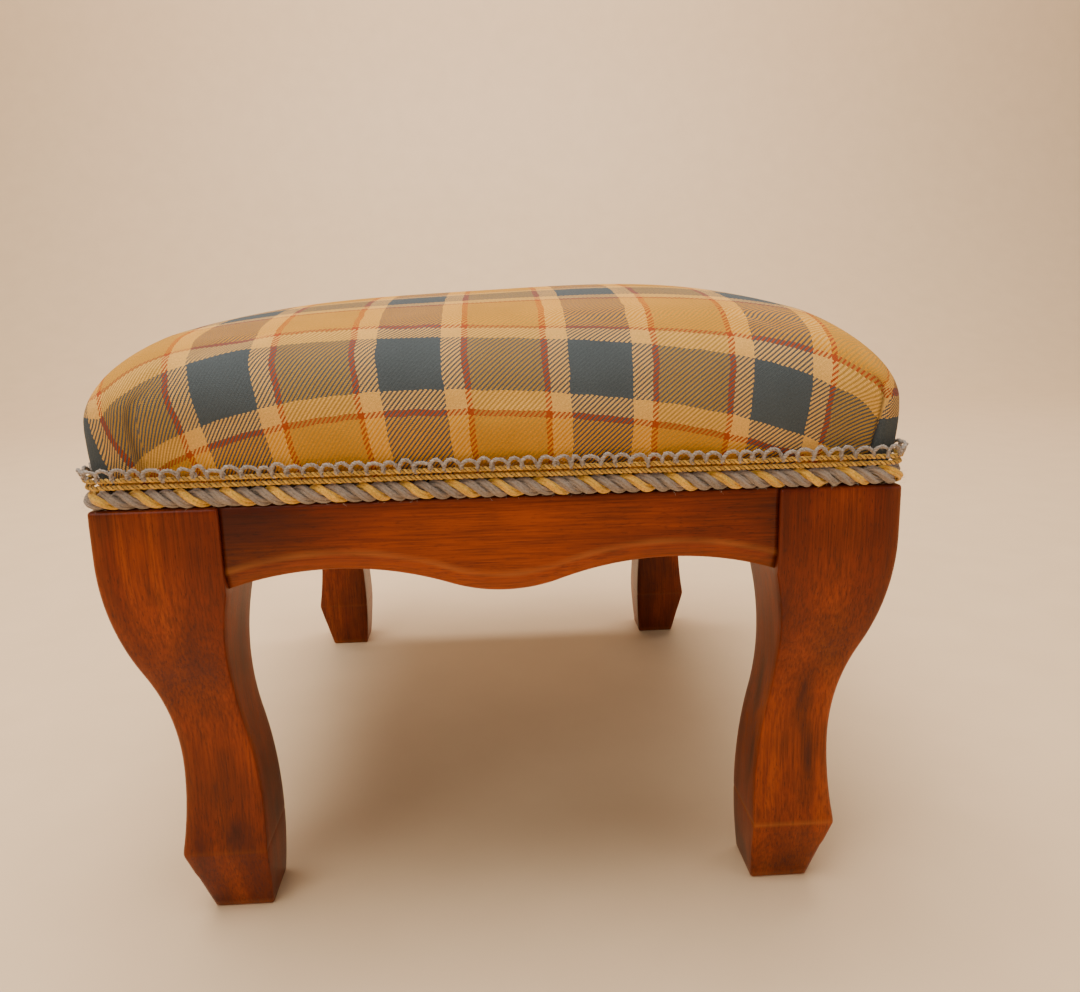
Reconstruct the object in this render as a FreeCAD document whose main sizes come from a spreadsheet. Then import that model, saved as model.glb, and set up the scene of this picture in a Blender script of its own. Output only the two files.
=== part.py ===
import FreeCAD, Part
import math
import os
import re
import Sketcher
from FreeCAD import Placement, Rotation, Vector

# Upholstered footstool, in millimetres. The floor is z = 0, the front is -Y and the left is -X.
# The origin lies on the floor, midway between the four feet.

SIZES = [
    # The frame as a whole
    ("stool_width", 320, "across the outer faces of the legs, X"),
    ("stool_depth", 400, "across the outer faces of the legs, Y"),
    ("ledge_height", 190, "floor to the ledge that the trim stands on"),
    ("upstand_rise", 7, "tacking edge above the ledge"),
    ("ledge_width", 8.5, "outer face of a leg to the tacking edge"),
    # Leg outline: insets run from the outer face of the leg
    ("leg_block", 49.4, "square block at the top of a leg"),
    ("leg_blank", 53, "square timber that a leg is sawn from"),
    ("toe_inset", 23.9, "outer face to the toe, at the floor"),
    ("shoulder_inset", 15.1, "outer face to the widest line of the foot"),
    ("shoulder_height", 32, "floor to the widest line of the foot"),
    ("ankle_inset", 18.6, "outer face to the hollow of the ankle"),
    ("ankle_height", 72, "floor to the hollow of the ankle"),
    ("knee_radius", 140, "curve of the knee"),
    ("knee_height", 170, "floor to the top of the knee curve"),
    ("calf_reach", 51.8, "outer face to the fullest line of the calf"),
    ("calf_height", 33, "floor to the fullest line of the calf"),
    ("hollow_reach", 44.9, "outer face to the hollow behind the knee"),
    ("hollow_height", 115, "floor to the hollow behind the knee"),
    ("hollow_radius", 172, "curve of the hollow behind the knee"),
    # Rails with a shaped lower edge
    ("rail_thickness", 22, "front to back of a rail"),
    ("rail_set_back", 1.8, "leg face to rail face"),
    ("arch_height", 162, "floor to the top of an arch of the lower edge"),
    ("arch_place", 0.1926, "leg to the top of an arch, as a share of the rail's length"),
    ("arch_share", 0.6715, "arch curve's share of the arch and pendant radii together"),
    ("pendant_height", 150.6, "floor to the lowest point of the lower edge"),
    ("bevel_rise", 7.5, "bevel of the lower edge, up the face"),
    ("bevel_depth", 4.5, "bevel of the lower edge, under the rail"),
    # Tenons, corner blocks and their screws
    ("tenon_thickness", 8, "front to back of a tenon, in the middle of its rail"),
    ("tenon_length", 16, "rail's end to the end of its tenon"),
    ("tenon_bottom", 164, "floor to the underside of a tenon"),
    ("tenon_height", 23, "height of a tenon"),
    ("tenon_play", 0.1, "round a tenon in its mortise and at its end"),
    ("block_reach", 97, "outer face of a leg to the tip of a corner block"),
    ("block_tip", 6, "flat at the tip of a corner block"),
    ("block_bottom", 170, "floor to the underside of a corner block"),
    ("block_height", 24, "height of a corner block"),
    ("block_gap", 0.4, "corner block to the corner of the leg"),
    ("screw_length", 35, "wood screw under its head"),
    ("screw_diameter", 4, "shank of a wood screw"),
    ("screw_head_diameter", 8, "head of a wood screw"),
    ("screw_head_height", 2.6, "head of a wood screw"),
    ("screw_play", 0.2, "round the shank and at its tip"),
    # Tacks
    ("tack_head_diameter", 5, "cut tack"),
    ("tack_head_height", 0.6, "cut tack"),
    ("tack_shank_width", 1.1, "square shank, under the head"),
    ("tack_tip_width", 0.3, "square shank, at its tip"),
    ("tack_length", 9, "cut tack under its head"),
    ("tack_hole", 2, "hole for a tack"),
    ("tack_play", 0.1, "head to what it holds"),
    # Webbing and hessian
    ("webbing_width", 50, "jute webbing"),
    ("webbing_thickness", 1.5, "jute webbing"),
    ("webbing_play", 0.1, "between two crossing strips"),
    ("webbing_slope", 5, "length over which a strip rises or falls"),
    ("webbing_end", 10, "outer face of a leg to the folded end"),
    ("webbing_fold", 13, "length turned back over the end"),
    ("webbing_tack_spread", 17, "middle tack to the outer tacks of a strip"),
    ("webbing_tack_inset", 18.5, "outer face of a leg to the tacks, past the tips of the cover's tacks"),
    ("hessian_thickness", 0.8, "hessian"),
    ("hessian_edge", 0.4, "tacking edge to the edge of the hessian"),
    # Cushion
    ("cloth_play", 0.2, "cover to the tacking edge"),
    ("cloth_thickness", 1.1, "woven cover"),
    ("cover_lift", 0.6, "ledge to the cut edge of the cover"),
    ("edge_overhang", -1.6, "cover past the leg face, where it rolls over the edge"),
    ("edge_rise", 2.5, "top of the tacking edge to the roll"),
    ("side_overhang", 1.5, "cover past the leg face, at its fullest"),
    ("side_height", 222, "floor to the fullest line of the side"),
    ("corner_radius", 12.5, "corner of the cushion at its fullest line"),
    ("shoulder_rise", 27, "fullest line to the top of the shoulder"),
    ("shoulder_run", 27.6, "fullest line to the top of the shoulder, inwards"),
    ("crown_rise", 22.5, "top of the shoulder to the middle of the crown"),
    ("crown_power", 3.6, "how flat the crown is"),
    ("corner_growth", 0.85, "how fast the corners round off up the crown"),
    ("soft_play", 0.3, "between two soft layers"),
    ("wadding_thickness", 5, "cotton wadding"),
    # Trim
    ("band_thickness", 0.7, "woven band behind the rope"),
    ("band_height", 6.4, "woven band behind the rope"),
    ("trim_play", 0.15, "between two rows of the trim"),
    ("rope_diameter", 8, "three-strand rope"),
    ("rope_corner", 8.5, "outer corner of the trim"),
    ("cord_diameter", 2.4, "thin twisted cord"),
    ("cord_overhang", 0.3, "leg face to the line of the lower cord"),
    ("cord_lean", 0.4, "upper cord past the lower one"),
    ("loop_height", 4, "row of loops"),
    ("loop_thickness", 1.4, "row of loops"),
    ("loop_overhang", 0.8, "leg face to the back of the loops"),
    ("cover_tack_pitch", 36, "one tack under the trim to the next, at least"),
    ("cover_tack_end", 10, "leg to the first tack under the trim"),
    # Cloth under the stool
    ("dust_thickness", 0.8, "black cambric"),
    ("dust_play", 0.2, "cambric to the rails and legs"),
    ("hem_height", 13, "turned-up hem"),
    ("hem_gap", 1, "hem to a corner block"),
    ("hem_tack_pitch", 40, "one tack of the hem to the next, at least"),
    ("hem_tack_end", 8, "end of the hem to its first tack"),
]

FRAME_TOP = "(ledge_height + upstand_rise)"
RAIL_INNER = "(rail_set_back + rail_thickness)"
SHORT_RAIL = "(stool_width - 2 * leg_block)"
LONG_RAIL = "(stool_depth - 2 * leg_block)"
HESSIAN_BOTTOM = f"({FRAME_TOP} + 2 * webbing_thickness + 2 * tack_play + tack_head_height)"
SCREW_HOLE = "(screw_diameter + 2 * screw_play)"
LONG_STRIPS = 3
CROSS_STRIPS = 4
TACKS_PER_END = 3
# Flat facets round each corner of the cushion and the trim, round the rope and the cords, and up
# the shoulder of the cushion
CORNER_CHORDS = 6
ROPE_SIDES = 12
CORD_SIDES = 8
SHOULDER_ROWS = 4
# The middle of a corner block's long face, as far across as along, and the height of its screw
BLOCK_FACE = f"((block_reach + {RAIL_INNER} + block_tip) / 2)"
SCREW_LEVEL = "(block_bottom + block_height / 2)"
# Cuts run this far past the wood that they remove.
OVERCUT = 4

doc = FreeCAD.newDocument("Footstool")
sheet = doc.addObject("Spreadsheet::Sheet", "Sizes")
for row, (alias, number, note) in enumerate(SIZES, start=1):
    sheet.set(f"A{row}", alias)
    sheet.set(f"B{row}", str(number))
    sheet.setAlias(f"B{row}", alias)
    sheet.set(f"C{row}", note)
doc.recompute()
NAMES = {alias for alias, number, note in SIZES}


def bound(formula):
    """The formula with every size pointing at its cell of the sheet."""
    return re.sub(r"[a-z][a-z_]*", lambda word: ("Sizes." if word[0] in NAMES else "") + word[0], formula)


def value(formula):
    result = sheet.evalExpression(bound(formula))
    return float(getattr(result, "Value", result))


def bind(thing, **formulas):
    """Ties properties of an object to formulas; Base_x stands for Placement.Base.x."""
    for key, formula in formulas.items():
        path = "Placement.Base." + key[-1] if key.startswith("Base_") else key
        thing.setExpression(path, bound(formula))


# Sketch helpers

def origin_plane(body, role):
    return next(plane for plane in body.Origin.OriginFeatures if plane.Role == role)


def new_sketch(body, name, role):
    sketch = body.newObject("Sketcher::SketchObject", name)
    sketch.AttachmentSupport = [(origin_plane(body, role), "")]
    sketch.MapMode = "FlatFace"
    return sketch


def drive(sketch, kind, geometry, point, name, formula):
    """Holds one coordinate of a point to a formula, or to the sketch's axis where it is 0."""
    if formula == "0":
        axis = -2 if kind == "DistanceX" else -1
        sketch.addConstraint(Sketcher.Constraint("PointOnObject", geometry, point, axis))
        return
    index = sketch.addConstraint(Sketcher.Constraint(kind, -1, 1, geometry, point, value(formula)))
    sketch.renameConstraint(index, name)
    sketch.setExpression("Constraints." + name, bound(formula))


def place_point(sketch, geometry, point, name, across=None, up=None):
    if across is not None:
        drive(sketch, "DistanceX", geometry, point, name + "_across", across)
    if up is not None:
        drive(sketch, "DistanceY", geometry, point, name + "_up", up)


def drive_radius(sketch, geometry, name, formula):
    index = sketch.addConstraint(Sketcher.Constraint("Radius", geometry, value(formula)))
    sketch.renameConstraint(index, name)
    sketch.setExpression("Constraints." + name, bound(formula))


def join(sketch, first, first_point, second, second_point, kind="Coincident"):
    sketch.addConstraint(Sketcher.Constraint(kind, first, first_point, second, second_point))


def add_line(sketch, start, end):
    return sketch.addGeometry(Part.LineSegment(start, end))


def add_arc(sketch, centre, start, end):
    """Counter-clockwise arc from start to end."""
    radius = (start - centre).Length
    angles = [math.atan2(point.y - centre.y, point.x - centre.x) for point in (start, end)]
    circle = Part.Circle(centre, Vector(0, 0, 1), radius)
    return sketch.addGeometry(Part.ArcOfCircle(circle, angles[0], angles[1]))


def add_polygon(sketch, name, corners):
    """Closed outline with straight sides; each corner is a pair of formulas."""
    points = [Vector(value(across), value(up)) for across, up in corners]
    lines = [add_line(sketch, points[i], points[(i + 1) % len(points)]) for i in range(len(points))]
    for i, (across, up) in enumerate(corners):
        join(sketch, lines[i - 1], 2, lines[i], 1)
        place_point(sketch, lines[i], 1, f"{name}{i}", across, up)


def between(first, first_radius, second, second_radius):
    """Where two circles that touch from outside meet."""
    return first + (second - first) * (first_radius / (first_radius + second_radius))


def add_pad(body, name, sketch, length, turned=False):
    pad = body.newObject("PartDesign::Pad", name)
    pad.Profile = sketch
    pad.Reversed = turned
    bind(pad, Length=length)
    sketch.Visibility = False
    return pad


def cut_cylinder(body, name, diameter, depth, start, direction):
    """Drills from start along direction; start is three formulas."""
    drill = body.newObject("PartDesign::SubtractiveCylinder", name)
    bind(drill, Radius=f"{diameter} / 2", Height=depth)
    base = Vector(*[value(part) for part in start])
    drill.Placement = Placement(base, Rotation(Vector(0, 0, 1), direction))
    bind(drill, Base_x=start[0], Base_y=start[1], Base_z=start[2])
    return drill


def turn_about_z(quarter_turns):
    return Rotation(Vector(0, 0, 1), 90 * quarter_turns)


def stand(thing, quarter_turns, across, along):
    thing.Placement = Placement(Vector(), turn_about_z(quarter_turns))
    bind(thing, Base_x=across, Base_y=along)


# The four corners and the four sides of the stool, each one quarter turn on from the last
CORNER_PLACES = [
    ("front_left", "-stool_width / 2", "-stool_depth / 2"),
    ("front_right", "stool_width / 2", "-stool_depth / 2"),
    ("rear_right", "stool_width / 2", "stool_depth / 2"),
    ("rear_left", "-stool_width / 2", "stool_depth / 2"),
]
SIDE_PLACES = [
    ("front", SHORT_RAIL, "0 mm", "rail_set_back - stool_depth / 2"),
    ("right", LONG_RAIL, "stool_width / 2 - rail_set_back", "0 mm"),
    ("rear", SHORT_RAIL, "0 mm", "stool_depth / 2 - rail_set_back"),
    ("left", LONG_RAIL, "rail_set_back - stool_width / 2", "0 mm"),
]
CORNERS = [(corner[0], turns, *corner[1:]) for turns, corner in enumerate(CORNER_PLACES)]
SIDES = [(side[0], turns, *side[1:]) for turns, side in enumerate(SIDE_PLACES)]


# Legs: the same outline is sawn across the timber twice, from the front and from the side

def leg_outline(sketch):
    knee_radius = value("knee_radius")
    knee_centre = Vector(knee_radius, value("knee_height"))
    ankle = Vector(value("ankle_inset"), value("ankle_height"))
    rise = knee_centre.y - ankle.y
    upper_radius = ((knee_radius - ankle.x) ** 2 + rise ** 2 - knee_radius ** 2) / (2 * ankle.x)
    upper_centre = Vector(ankle.x - upper_radius, ankle.y)
    bend = between(upper_centre, upper_radius, knee_centre, knee_radius)
    shoulder = Vector(value("shoulder_inset"), value("shoulder_height"))
    dip = ankle.x - shoulder.x
    lower_radius = ((ankle.y - shoulder.y) ** 2 + dip ** 2) / (2 * dip)
    lower_centre = Vector(ankle.x - lower_radius, ankle.y)

    hollow_radius = value("hollow_radius")
    hollow_centre = Vector(value("hollow_reach") + hollow_radius, value("hollow_height"))
    step = "(calf_reach - hollow_reach)"
    calf_formula = f"({step} ^ 2 + (hollow_height - calf_height) ^ 2) / (2 * {step}) - hollow_radius"
    calf_radius = value(calf_formula)
    calf_centre = Vector(value("calf_reach") - calf_radius, value("calf_height"))
    sway = between(calf_centre, calf_radius, hollow_centre, hollow_radius)
    block = value("leg_block")
    under_block = hollow_centre.y + math.sqrt(hollow_radius ** 2 - (hollow_centre.x - block) ** 2)
    heel = calf_centre.x + math.sqrt(calf_radius ** 2 - calf_centre.y ** 2)

    ledge = value("ledge_height")
    edge = value("ledge_width")
    top = value(FRAME_TOP)
    toe = Vector(value("toe_inset"), 0)
    knee_top = Vector(0, knee_centre.y)

    lower = add_arc(sketch, lower_centre, shoulder, ankle)
    upper = add_arc(sketch, upper_centre, ankle, bend)
    knee = add_arc(sketch, knee_centre, knee_top, bend)
    face = add_line(sketch, knee_top, Vector(0, ledge))
    shelf = add_line(sketch, Vector(0, ledge), Vector(edge, ledge))
    upstand = add_line(sketch, Vector(edge, ledge), Vector(edge, top))
    crest = add_line(sketch, Vector(edge, top), Vector(block, top))
    inner = add_line(sketch, Vector(block, top), Vector(block, under_block))
    hollow = add_arc(sketch, hollow_centre, Vector(block, under_block), sway)
    calf = add_arc(sketch, calf_centre, Vector(heel, 0), sway)
    sole = add_line(sketch, Vector(heel, 0), toe)
    bevel = add_line(sketch, toe, shoulder)

    place_point(sketch, lower, 1, "shoulder", "shoulder_inset", "shoulder_height")
    place_point(sketch, lower, 2, "ankle", "ankle_inset", "ankle_height")
    place_point(sketch, lower, 3, "lower_centre", up="ankle_height")
    join(sketch, lower, 2, upper, 1)
    place_point(sketch, upper, 3, "upper_centre", up="ankle_height")
    join(sketch, upper, 2, knee, 2, "Tangent")
    drive_radius(sketch, knee, "knee_curve", "knee_radius")
    place_point(sketch, knee, 1, "knee_top", "0", "knee_height")
    place_point(sketch, knee, 3, "knee_centre", up="knee_height")
    join(sketch, knee, 1, face, 1)
    join(sketch, face, 2, shelf, 1)
    place_point(sketch, shelf, 1, "ledge", "0", "ledge_height")
    join(sketch, shelf, 2, upstand, 1)
    place_point(sketch, upstand, 1, "edge", "ledge_width", "ledge_height")
    join(sketch, upstand, 2, crest, 1)
    place_point(sketch, crest, 1, "edge_top", "ledge_width", FRAME_TOP)
    join(sketch, crest, 2, inner, 1)
    place_point(sketch, inner, 1, "block_top", "leg_block", FRAME_TOP)
    sketch.addConstraint(Sketcher.Constraint("Vertical", inner))
    join(sketch, inner, 2, hollow, 1)
    drive_radius(sketch, hollow, "hollow_curve", "hollow_radius")
    place_point(sketch, hollow, 3, "hollow_centre", "hollow_reach + hollow_radius", "hollow_height")
    join(sketch, hollow, 2, calf, 2, "Tangent")
    drive_radius(sketch, calf, "calf_curve", calf_formula)
    place_point(sketch, calf, 3, "calf_centre", up="calf_height")
    join(sketch, calf, 1, sole, 1)
    place_point(sketch, sole, 1, "heel", up="0")
    join(sketch, sole, 2, bevel, 1)
    place_point(sketch, bevel, 1, "toe", "toe_inset", "0")
    join(sketch, bevel, 2, lower, 1)


def make_leg(place, quarter_turns, across, along):
    body = doc.addObject("PartDesign::Body", "leg_" + place)
    front_view = new_sketch(body, "leg_front_view", "XZ_Plane")
    leg_outline(front_view)
    add_pad(body, "leg_front_sawn", front_view, "leg_blank", turned=True)
    side_view = new_sketch(body, "leg_side_view", "YZ_Plane")
    leg_outline(side_view)
    low, high = f"-{OVERCUT}", f"leg_blank + {OVERCUT}"
    top = f"{FRAME_TOP} + {OVERCUT}"
    add_polygon(side_view, "waste", [(low, low), (high, low), (high, top), (low, top)])
    waste = body.newObject("PartDesign::Pocket", "leg_side_sawn")
    waste.Profile = side_view
    waste.Type = "ThroughAll"
    waste.Midplane = True
    side_view.Visibility = False
    deep = f"tenon_length + tenon_play + {OVERCUT}"
    wide = "(tenon_thickness + 2 * tenon_play)"
    start = "leg_block - tenon_length - tenon_play"
    side = f"rail_set_back + (rail_thickness - {wide}) / 2"
    for name, sizes, corner in (("mortise_x", (deep, wide), (start, side)),
                                ("mortise_y", (wide, deep), (side, start))):
        mortise = body.newObject("PartDesign::SubtractiveBox", name)
        bind(mortise, Length=sizes[0], Width=sizes[1], Height="tenon_height + 2 * tenon_play",
             Base_x=corner[0], Base_y=corner[1], Base_z="tenon_bottom - tenon_play")
    tip = f"{BLOCK_FACE} - (screw_length + screw_play) * sqrt(0.5)"
    cut_cylinder(body, "screw_pilot", SCREW_HOLE, "screw_length", (tip, tip, SCREW_LEVEL), Vector(1, 1, 0))
    stand(body, quarter_turns, across, along)
    return body


# Rails: two arches and a pendant along the lower edge, with a rebate for the cover at the top

def rail_outline(sketch, length):
    half = value(length) / 2
    peak = value("arch_height")
    low = value("pendant_height")
    reach_formula = f"({length} * (0.5 - arch_place))"
    drop_formula = "(arch_height - pendant_height)"
    radii = f"(({reach_formula} ^ 2 + {drop_formula} ^ 2) / (2 * {drop_formula}))"
    radius_formula = f"(arch_share * {radii})"
    reach = value(reach_formula)
    radius = value(radius_formula)
    pendant_radius = value(radii) - radius
    pendant_centre = Vector(0, low + pendant_radius)
    arch_left = Vector(-reach, peak - radius)
    arch_right = Vector(reach, peak - radius)
    foot = arch_left.y + math.sqrt(radius ** 2 - (half - reach) ** 2)
    left_bend = between(arch_left, radius, pendant_centre, pendant_radius)
    right_bend = Vector(-left_bend.x, left_bend.y)
    bottom = Vector(0, low)
    top = value(FRAME_TOP)

    left = add_arc(sketch, arch_left, left_bend, Vector(-half, foot))
    left_pendant = add_arc(sketch, pendant_centre, left_bend, bottom)
    right_pendant = add_arc(sketch, pendant_centre, bottom, right_bend)
    right = add_arc(sketch, arch_right, Vector(half, foot), right_bend)
    right_end = add_line(sketch, Vector(half, foot), Vector(half, top))
    crest = add_line(sketch, Vector(half, top), Vector(-half, top))
    left_end = add_line(sketch, Vector(-half, top), Vector(-half, foot))

    centre_up = f"arch_height - {radius_formula}"
    for arch, name, sign in ((left, "left", "-"), (right, "right", "")):
        drive_radius(sketch, arch, name + "_arch", radius_formula)
        centre_across = sign + reach_formula
        place_point(sketch, arch, 3, name + "_centre", centre_across, centre_up)
    place_point(sketch, left_pendant, 3, "left_pendant", across="0")
    place_point(sketch, right_pendant, 3, "right_pendant", across="0")
    place_point(sketch, left_pendant, 2, "pendant", "0", "pendant_height")
    join(sketch, left_pendant, 2, right_pendant, 1)
    join(sketch, left, 1, left_pendant, 1, "Tangent")
    join(sketch, right_pendant, 2, right, 2, "Tangent")
    join(sketch, right, 1, right_end, 1)
    join(sketch, right_end, 2, crest, 1)
    join(sketch, crest, 2, left_end, 1)
    join(sketch, left_end, 2, left, 2)
    place_point(sketch, crest, 1, "right_top", f"{length} / 2", FRAME_TOP)
    place_point(sketch, crest, 2, "left_top", f"-{length} / 2", FRAME_TOP)
    place_point(sketch, right_end, 1, "right_foot", across=f"{length} / 2")
    place_point(sketch, left_end, 2, "left_foot", across=f"-{length} / 2")


def lower_face_edges(shape, height_limit):
    """Edges of the lower outline that lie in the rail's outer face."""
    found = []
    for number, edge in enumerate(shape.Edges, start=1):
        box = edge.BoundBox
        flat = box.YLength < 0.01 and abs(box.YMin) < 0.01
        if flat and box.XLength > 1 and box.ZMax < height_limit:
            found.append(f"Edge{number}")
    return found


def make_rail_blank(place, quarter_turns, length, across, along):
    body = doc.addObject("PartDesign::Body", "rail_blank_" + place)
    outline = new_sketch(body, "rail_outline", "XZ_Plane")
    rail_outline(outline, length)
    sawn = add_pad(body, "rail_sawn", outline, "rail_thickness", turned=True)
    doc.recompute()
    limit = value("ledge_height") - 1
    bevel = body.newObject("PartDesign::Chamfer", "rail_bevel")
    bevel.Base = (sawn, lower_face_edges(sawn.Shape, limit))
    bevel.ChamferType = "Two distances"
    bind(bevel, Size="bevel_depth", Size2="bevel_rise")
    rebate = body.newObject("PartDesign::SubtractiveBox", "rail_rebate")
    rebate.Placement = Placement()
    bind(rebate, Length=f"{length} + 2 * {OVERCUT}", Width=f"ledge_width - rail_set_back + {OVERCUT}",
         Height=f"upstand_rise + {OVERCUT}", Base_x=f"-{length} / 2 - {OVERCUT}",
         Base_y=f"-{OVERCUT}", Base_z="ledge_height")
    for name, start in (("tenon_left", f"-{length} / 2 - tenon_length"), ("tenon_right", f"{length} / 2")):
        tenon = body.newObject("PartDesign::AdditiveBox", name)
        bind(tenon, Length="tenon_length", Width="tenon_thickness", Height="tenon_height", Base_x=start,
             Base_y="(rail_thickness - tenon_thickness) / 2", Base_z="tenon_bottom")
    stand(body, quarter_turns, across, along)
    return body


# Corner blocks, glued inside each corner and screwed to the leg along the diagonal

def make_corner_block(place, quarter_turns, across, along):
    body = doc.addObject("PartDesign::Body", "corner_block_" + place)
    plan = new_sketch(body, "block_plan", "XY_Plane")
    notch = "leg_block + block_gap"
    shoulder = f"{RAIL_INNER} + block_tip"
    add_polygon(plan, "corner", [
        (notch, RAIL_INNER), ("block_reach", RAIL_INNER), ("block_reach", shoulder),
        (shoulder, "block_reach"), (RAIL_INNER, "block_reach"), (RAIL_INNER, notch), (notch, notch),
    ])
    add_pad(body, "block_sawn", plan, "block_height")
    cut_cylinder(body, "screw_hole", SCREW_HOLE, "block_reach", (RAIL_INNER, RAIL_INNER, "block_height / 2"),
                 Vector(1, 1, 0))
    stand(body, quarter_turns, across, along)
    bind(body, Base_z="block_bottom")
    return body


# Fasteners: one of each is modelled, and the groups are copies of it

def make_screw():
    """Round-headed wood screw, its head's underside at the origin, pointing down the Z axis."""
    body = doc.addObject("PartDesign::Body", "screw_pattern")
    profile = new_sketch(body, "screw_profile", "XZ_Plane")
    shank = "screw_diameter / 2"
    tip = "-screw_length"
    taper = "-screw_length + screw_diameter"
    add_polygon(profile, "turn", [
        ("0", "screw_head_height"), ("0", tip), (shank, taper), (shank, "0"),
        ("screw_head_diameter / 2", "0"), ("screw_head_diameter / 4", "screw_head_height"),
    ])
    turned = body.newObject("PartDesign::Revolution", "screw_turned")
    turned.Profile = profile
    turned.ReferenceAxis = (profile, ["V_Axis"])
    turned.Angle = 360
    profile.Visibility = False
    return body


def make_tack():
    """Cut tack, its head's underside at the origin, pointing down the Z axis."""
    head = doc.addObject("Part::Prism", "tack_head")
    head.Polygon = 6
    bind(head, Circumradius="tack_head_diameter / 2", Height="tack_head_height")
    shank = doc.addObject("Part::Wedge", "tack_shank")
    half, tip = "tack_shank_width / 2", "tack_tip_width / 2"
    bind(shank, Xmin="-" + half, Xmax=half, Zmin="-" + half, Zmax=half, X2min="-" + tip, X2max=tip,
         Z2min="-" + tip, Z2max=tip, Ymin="0 mm", Ymax="tack_length")
    shank.Placement = Placement(Vector(), Rotation(Vector(1, 0, 0), -90))
    tack = doc.addObject("Part::Fuse", "tack_pattern")
    tack.Base = head
    tack.Tool = shank
    return tack


def copies(pattern_shape, places):
    """One compound of copies; a place is a point and the direction in which the piece points."""
    solids = []
    for point, direction in places:
        solid = pattern_shape.copy()
        solid.Placement = Placement(point, Rotation(Vector(0, 0, -1), direction)).multiply(solid.Placement)
        solids.append(solid)
    return Part.makeCompound(solids)


def holes(width, depth, places):
    """Square holes along the places' directions, starting a little before each point."""
    hole = Part.makeBox(width, width, depth + OVERCUT, Vector(-width / 2, -width / 2, -depth))
    return copies(hole, places)


def add_shape(label, shape):
    feature = doc.addObject("Part::Feature", label)
    feature.Shape = shape
    feature.Placement = Placement()
    return feature


def around_stool(point, quarter_turns, direction, half_depths):
    """Takes a point beside the front rail to the same place beside another rail."""
    turn = turn_about_z(quarter_turns)
    moved = turn.multVec(Vector(point.x, point.y - half_depths[quarter_turns % 2], point.z))
    return moved, turn.multVec(direction)


def half_depths():
    return (value("stool_depth") / 2, value("stool_width") / 2)


def spaced(length, pitch):
    """Even places along a length, with one at each end, at least a pitch apart."""
    count = max(2, int(length // pitch) + 1)
    return [length * (i / (count - 1) - 0.5) for i in range(count)]


def strip_centres(count, width):
    """Middles of webbing strips spread evenly over a width, both edges free."""
    pitch = value(width) / (count + 1)
    return [pitch * (i - (count - 1) / 2) for i in range(count)]


def long_strips():
    return strip_centres(LONG_STRIPS, "stool_width")


def cross_strips():
    return strip_centres(CROSS_STRIPS, "stool_depth")


def webbing_tack_places():
    """Three tacks in each strip end, down into the tops of the rails."""
    level = value(f"{FRAME_TOP} + 2 * webbing_thickness + tack_play")
    spread = value("webbing_tack_spread")
    inset = value("webbing_tack_inset")
    places = []
    for place, quarter_turns, length, across, along in SIDES:
        for centre in (long_strips() if quarter_turns % 2 == 0 else cross_strips()):
            for i in range(TACKS_PER_END):
                offset = spread * (i - (TACKS_PER_END - 1) / 2)
                point = Vector(centre + offset, inset, level)
                places.append(around_stool(point, quarter_turns, Vector(0, 0, -1), half_depths()))
    return places


def cover_tack_places():
    """Tacks through the cover into the tacking edge of the rails, hidden by the trim."""
    outset = value("ledge_width - cloth_play - cloth_thickness - tack_play")
    level = value("ledge_height + upstand_rise / 2")
    places = []
    for place, quarter_turns, length, across, along in SIDES:
        for x in spaced(value(length + " - 2 * cover_tack_end"), value("cover_tack_pitch")):
            point = Vector(x, outset, level)
            places.append(around_stool(point, quarter_turns, Vector(0, 1, 0), half_depths()))
    return places


def hem_tack_places():
    """Tacks through the turned-up hem into the inner faces of the rails."""
    inset = value(f"{RAIL_INNER} + dust_play + dust_thickness + tack_play")
    level = value("block_bottom + hem_height / 2")
    places = []
    for place, quarter_turns, length, across, along in SIDES:
        run = value(f"{length} + 2 * leg_block - 2 * block_reach - 2 * hem_gap - 2 * hem_tack_end")
        for x in spaced(run, value("hem_tack_pitch")):
            point = Vector(x, inset, level)
            places.append(around_stool(point, quarter_turns, Vector(0, -1, 0), half_depths()))
    return places


def screw_places():
    """Middles of the long faces of the corner blocks, pointing at the legs."""
    across_block = value(BLOCK_FACE)
    places = []
    for place, quarter_turns, across, along in CORNERS:
        turn = turn_about_z(quarter_turns)
        corner = Vector(value(across), value(along), value(SCREW_LEVEL))
        point = corner + turn.multVec(Vector(across_block, across_block, 0))
        places.append((point, turn.multVec(Vector(-1, -1, 0))))
    return places


# Webbing: plain weave of flat strips over the opening, ends turned back and tacked

def webbing_profile(half_length, crossings, over_first):
    """Side view of a strip that goes over and under the strips it crosses."""
    thickness = value("webbing_thickness")
    base = value(FRAME_TOP)
    lift = thickness + value("webbing_play")
    half_width = value("webbing_width") / 2
    slope = value("webbing_slope")
    heights = [(-half_length, 0)]
    for i, centre in enumerate(crossings):
        level = lift if (i % 2 == 0) == over_first else 0
        before = centre - half_width - slope
        after = centre + half_width + slope
        if level:
            heights += [(before, 0), (before + slope, level), (after - slope, level), (after, 0)]
    heights.append((half_length, 0))
    lower = [Vector(x, 0, base + z) for x, z in heights]
    upper = [Vector(x, 0, base + z + thickness) for x, z in reversed(heights)]
    return Part.Face(Part.makePolygon(lower + upper + lower[:1]))


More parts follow.
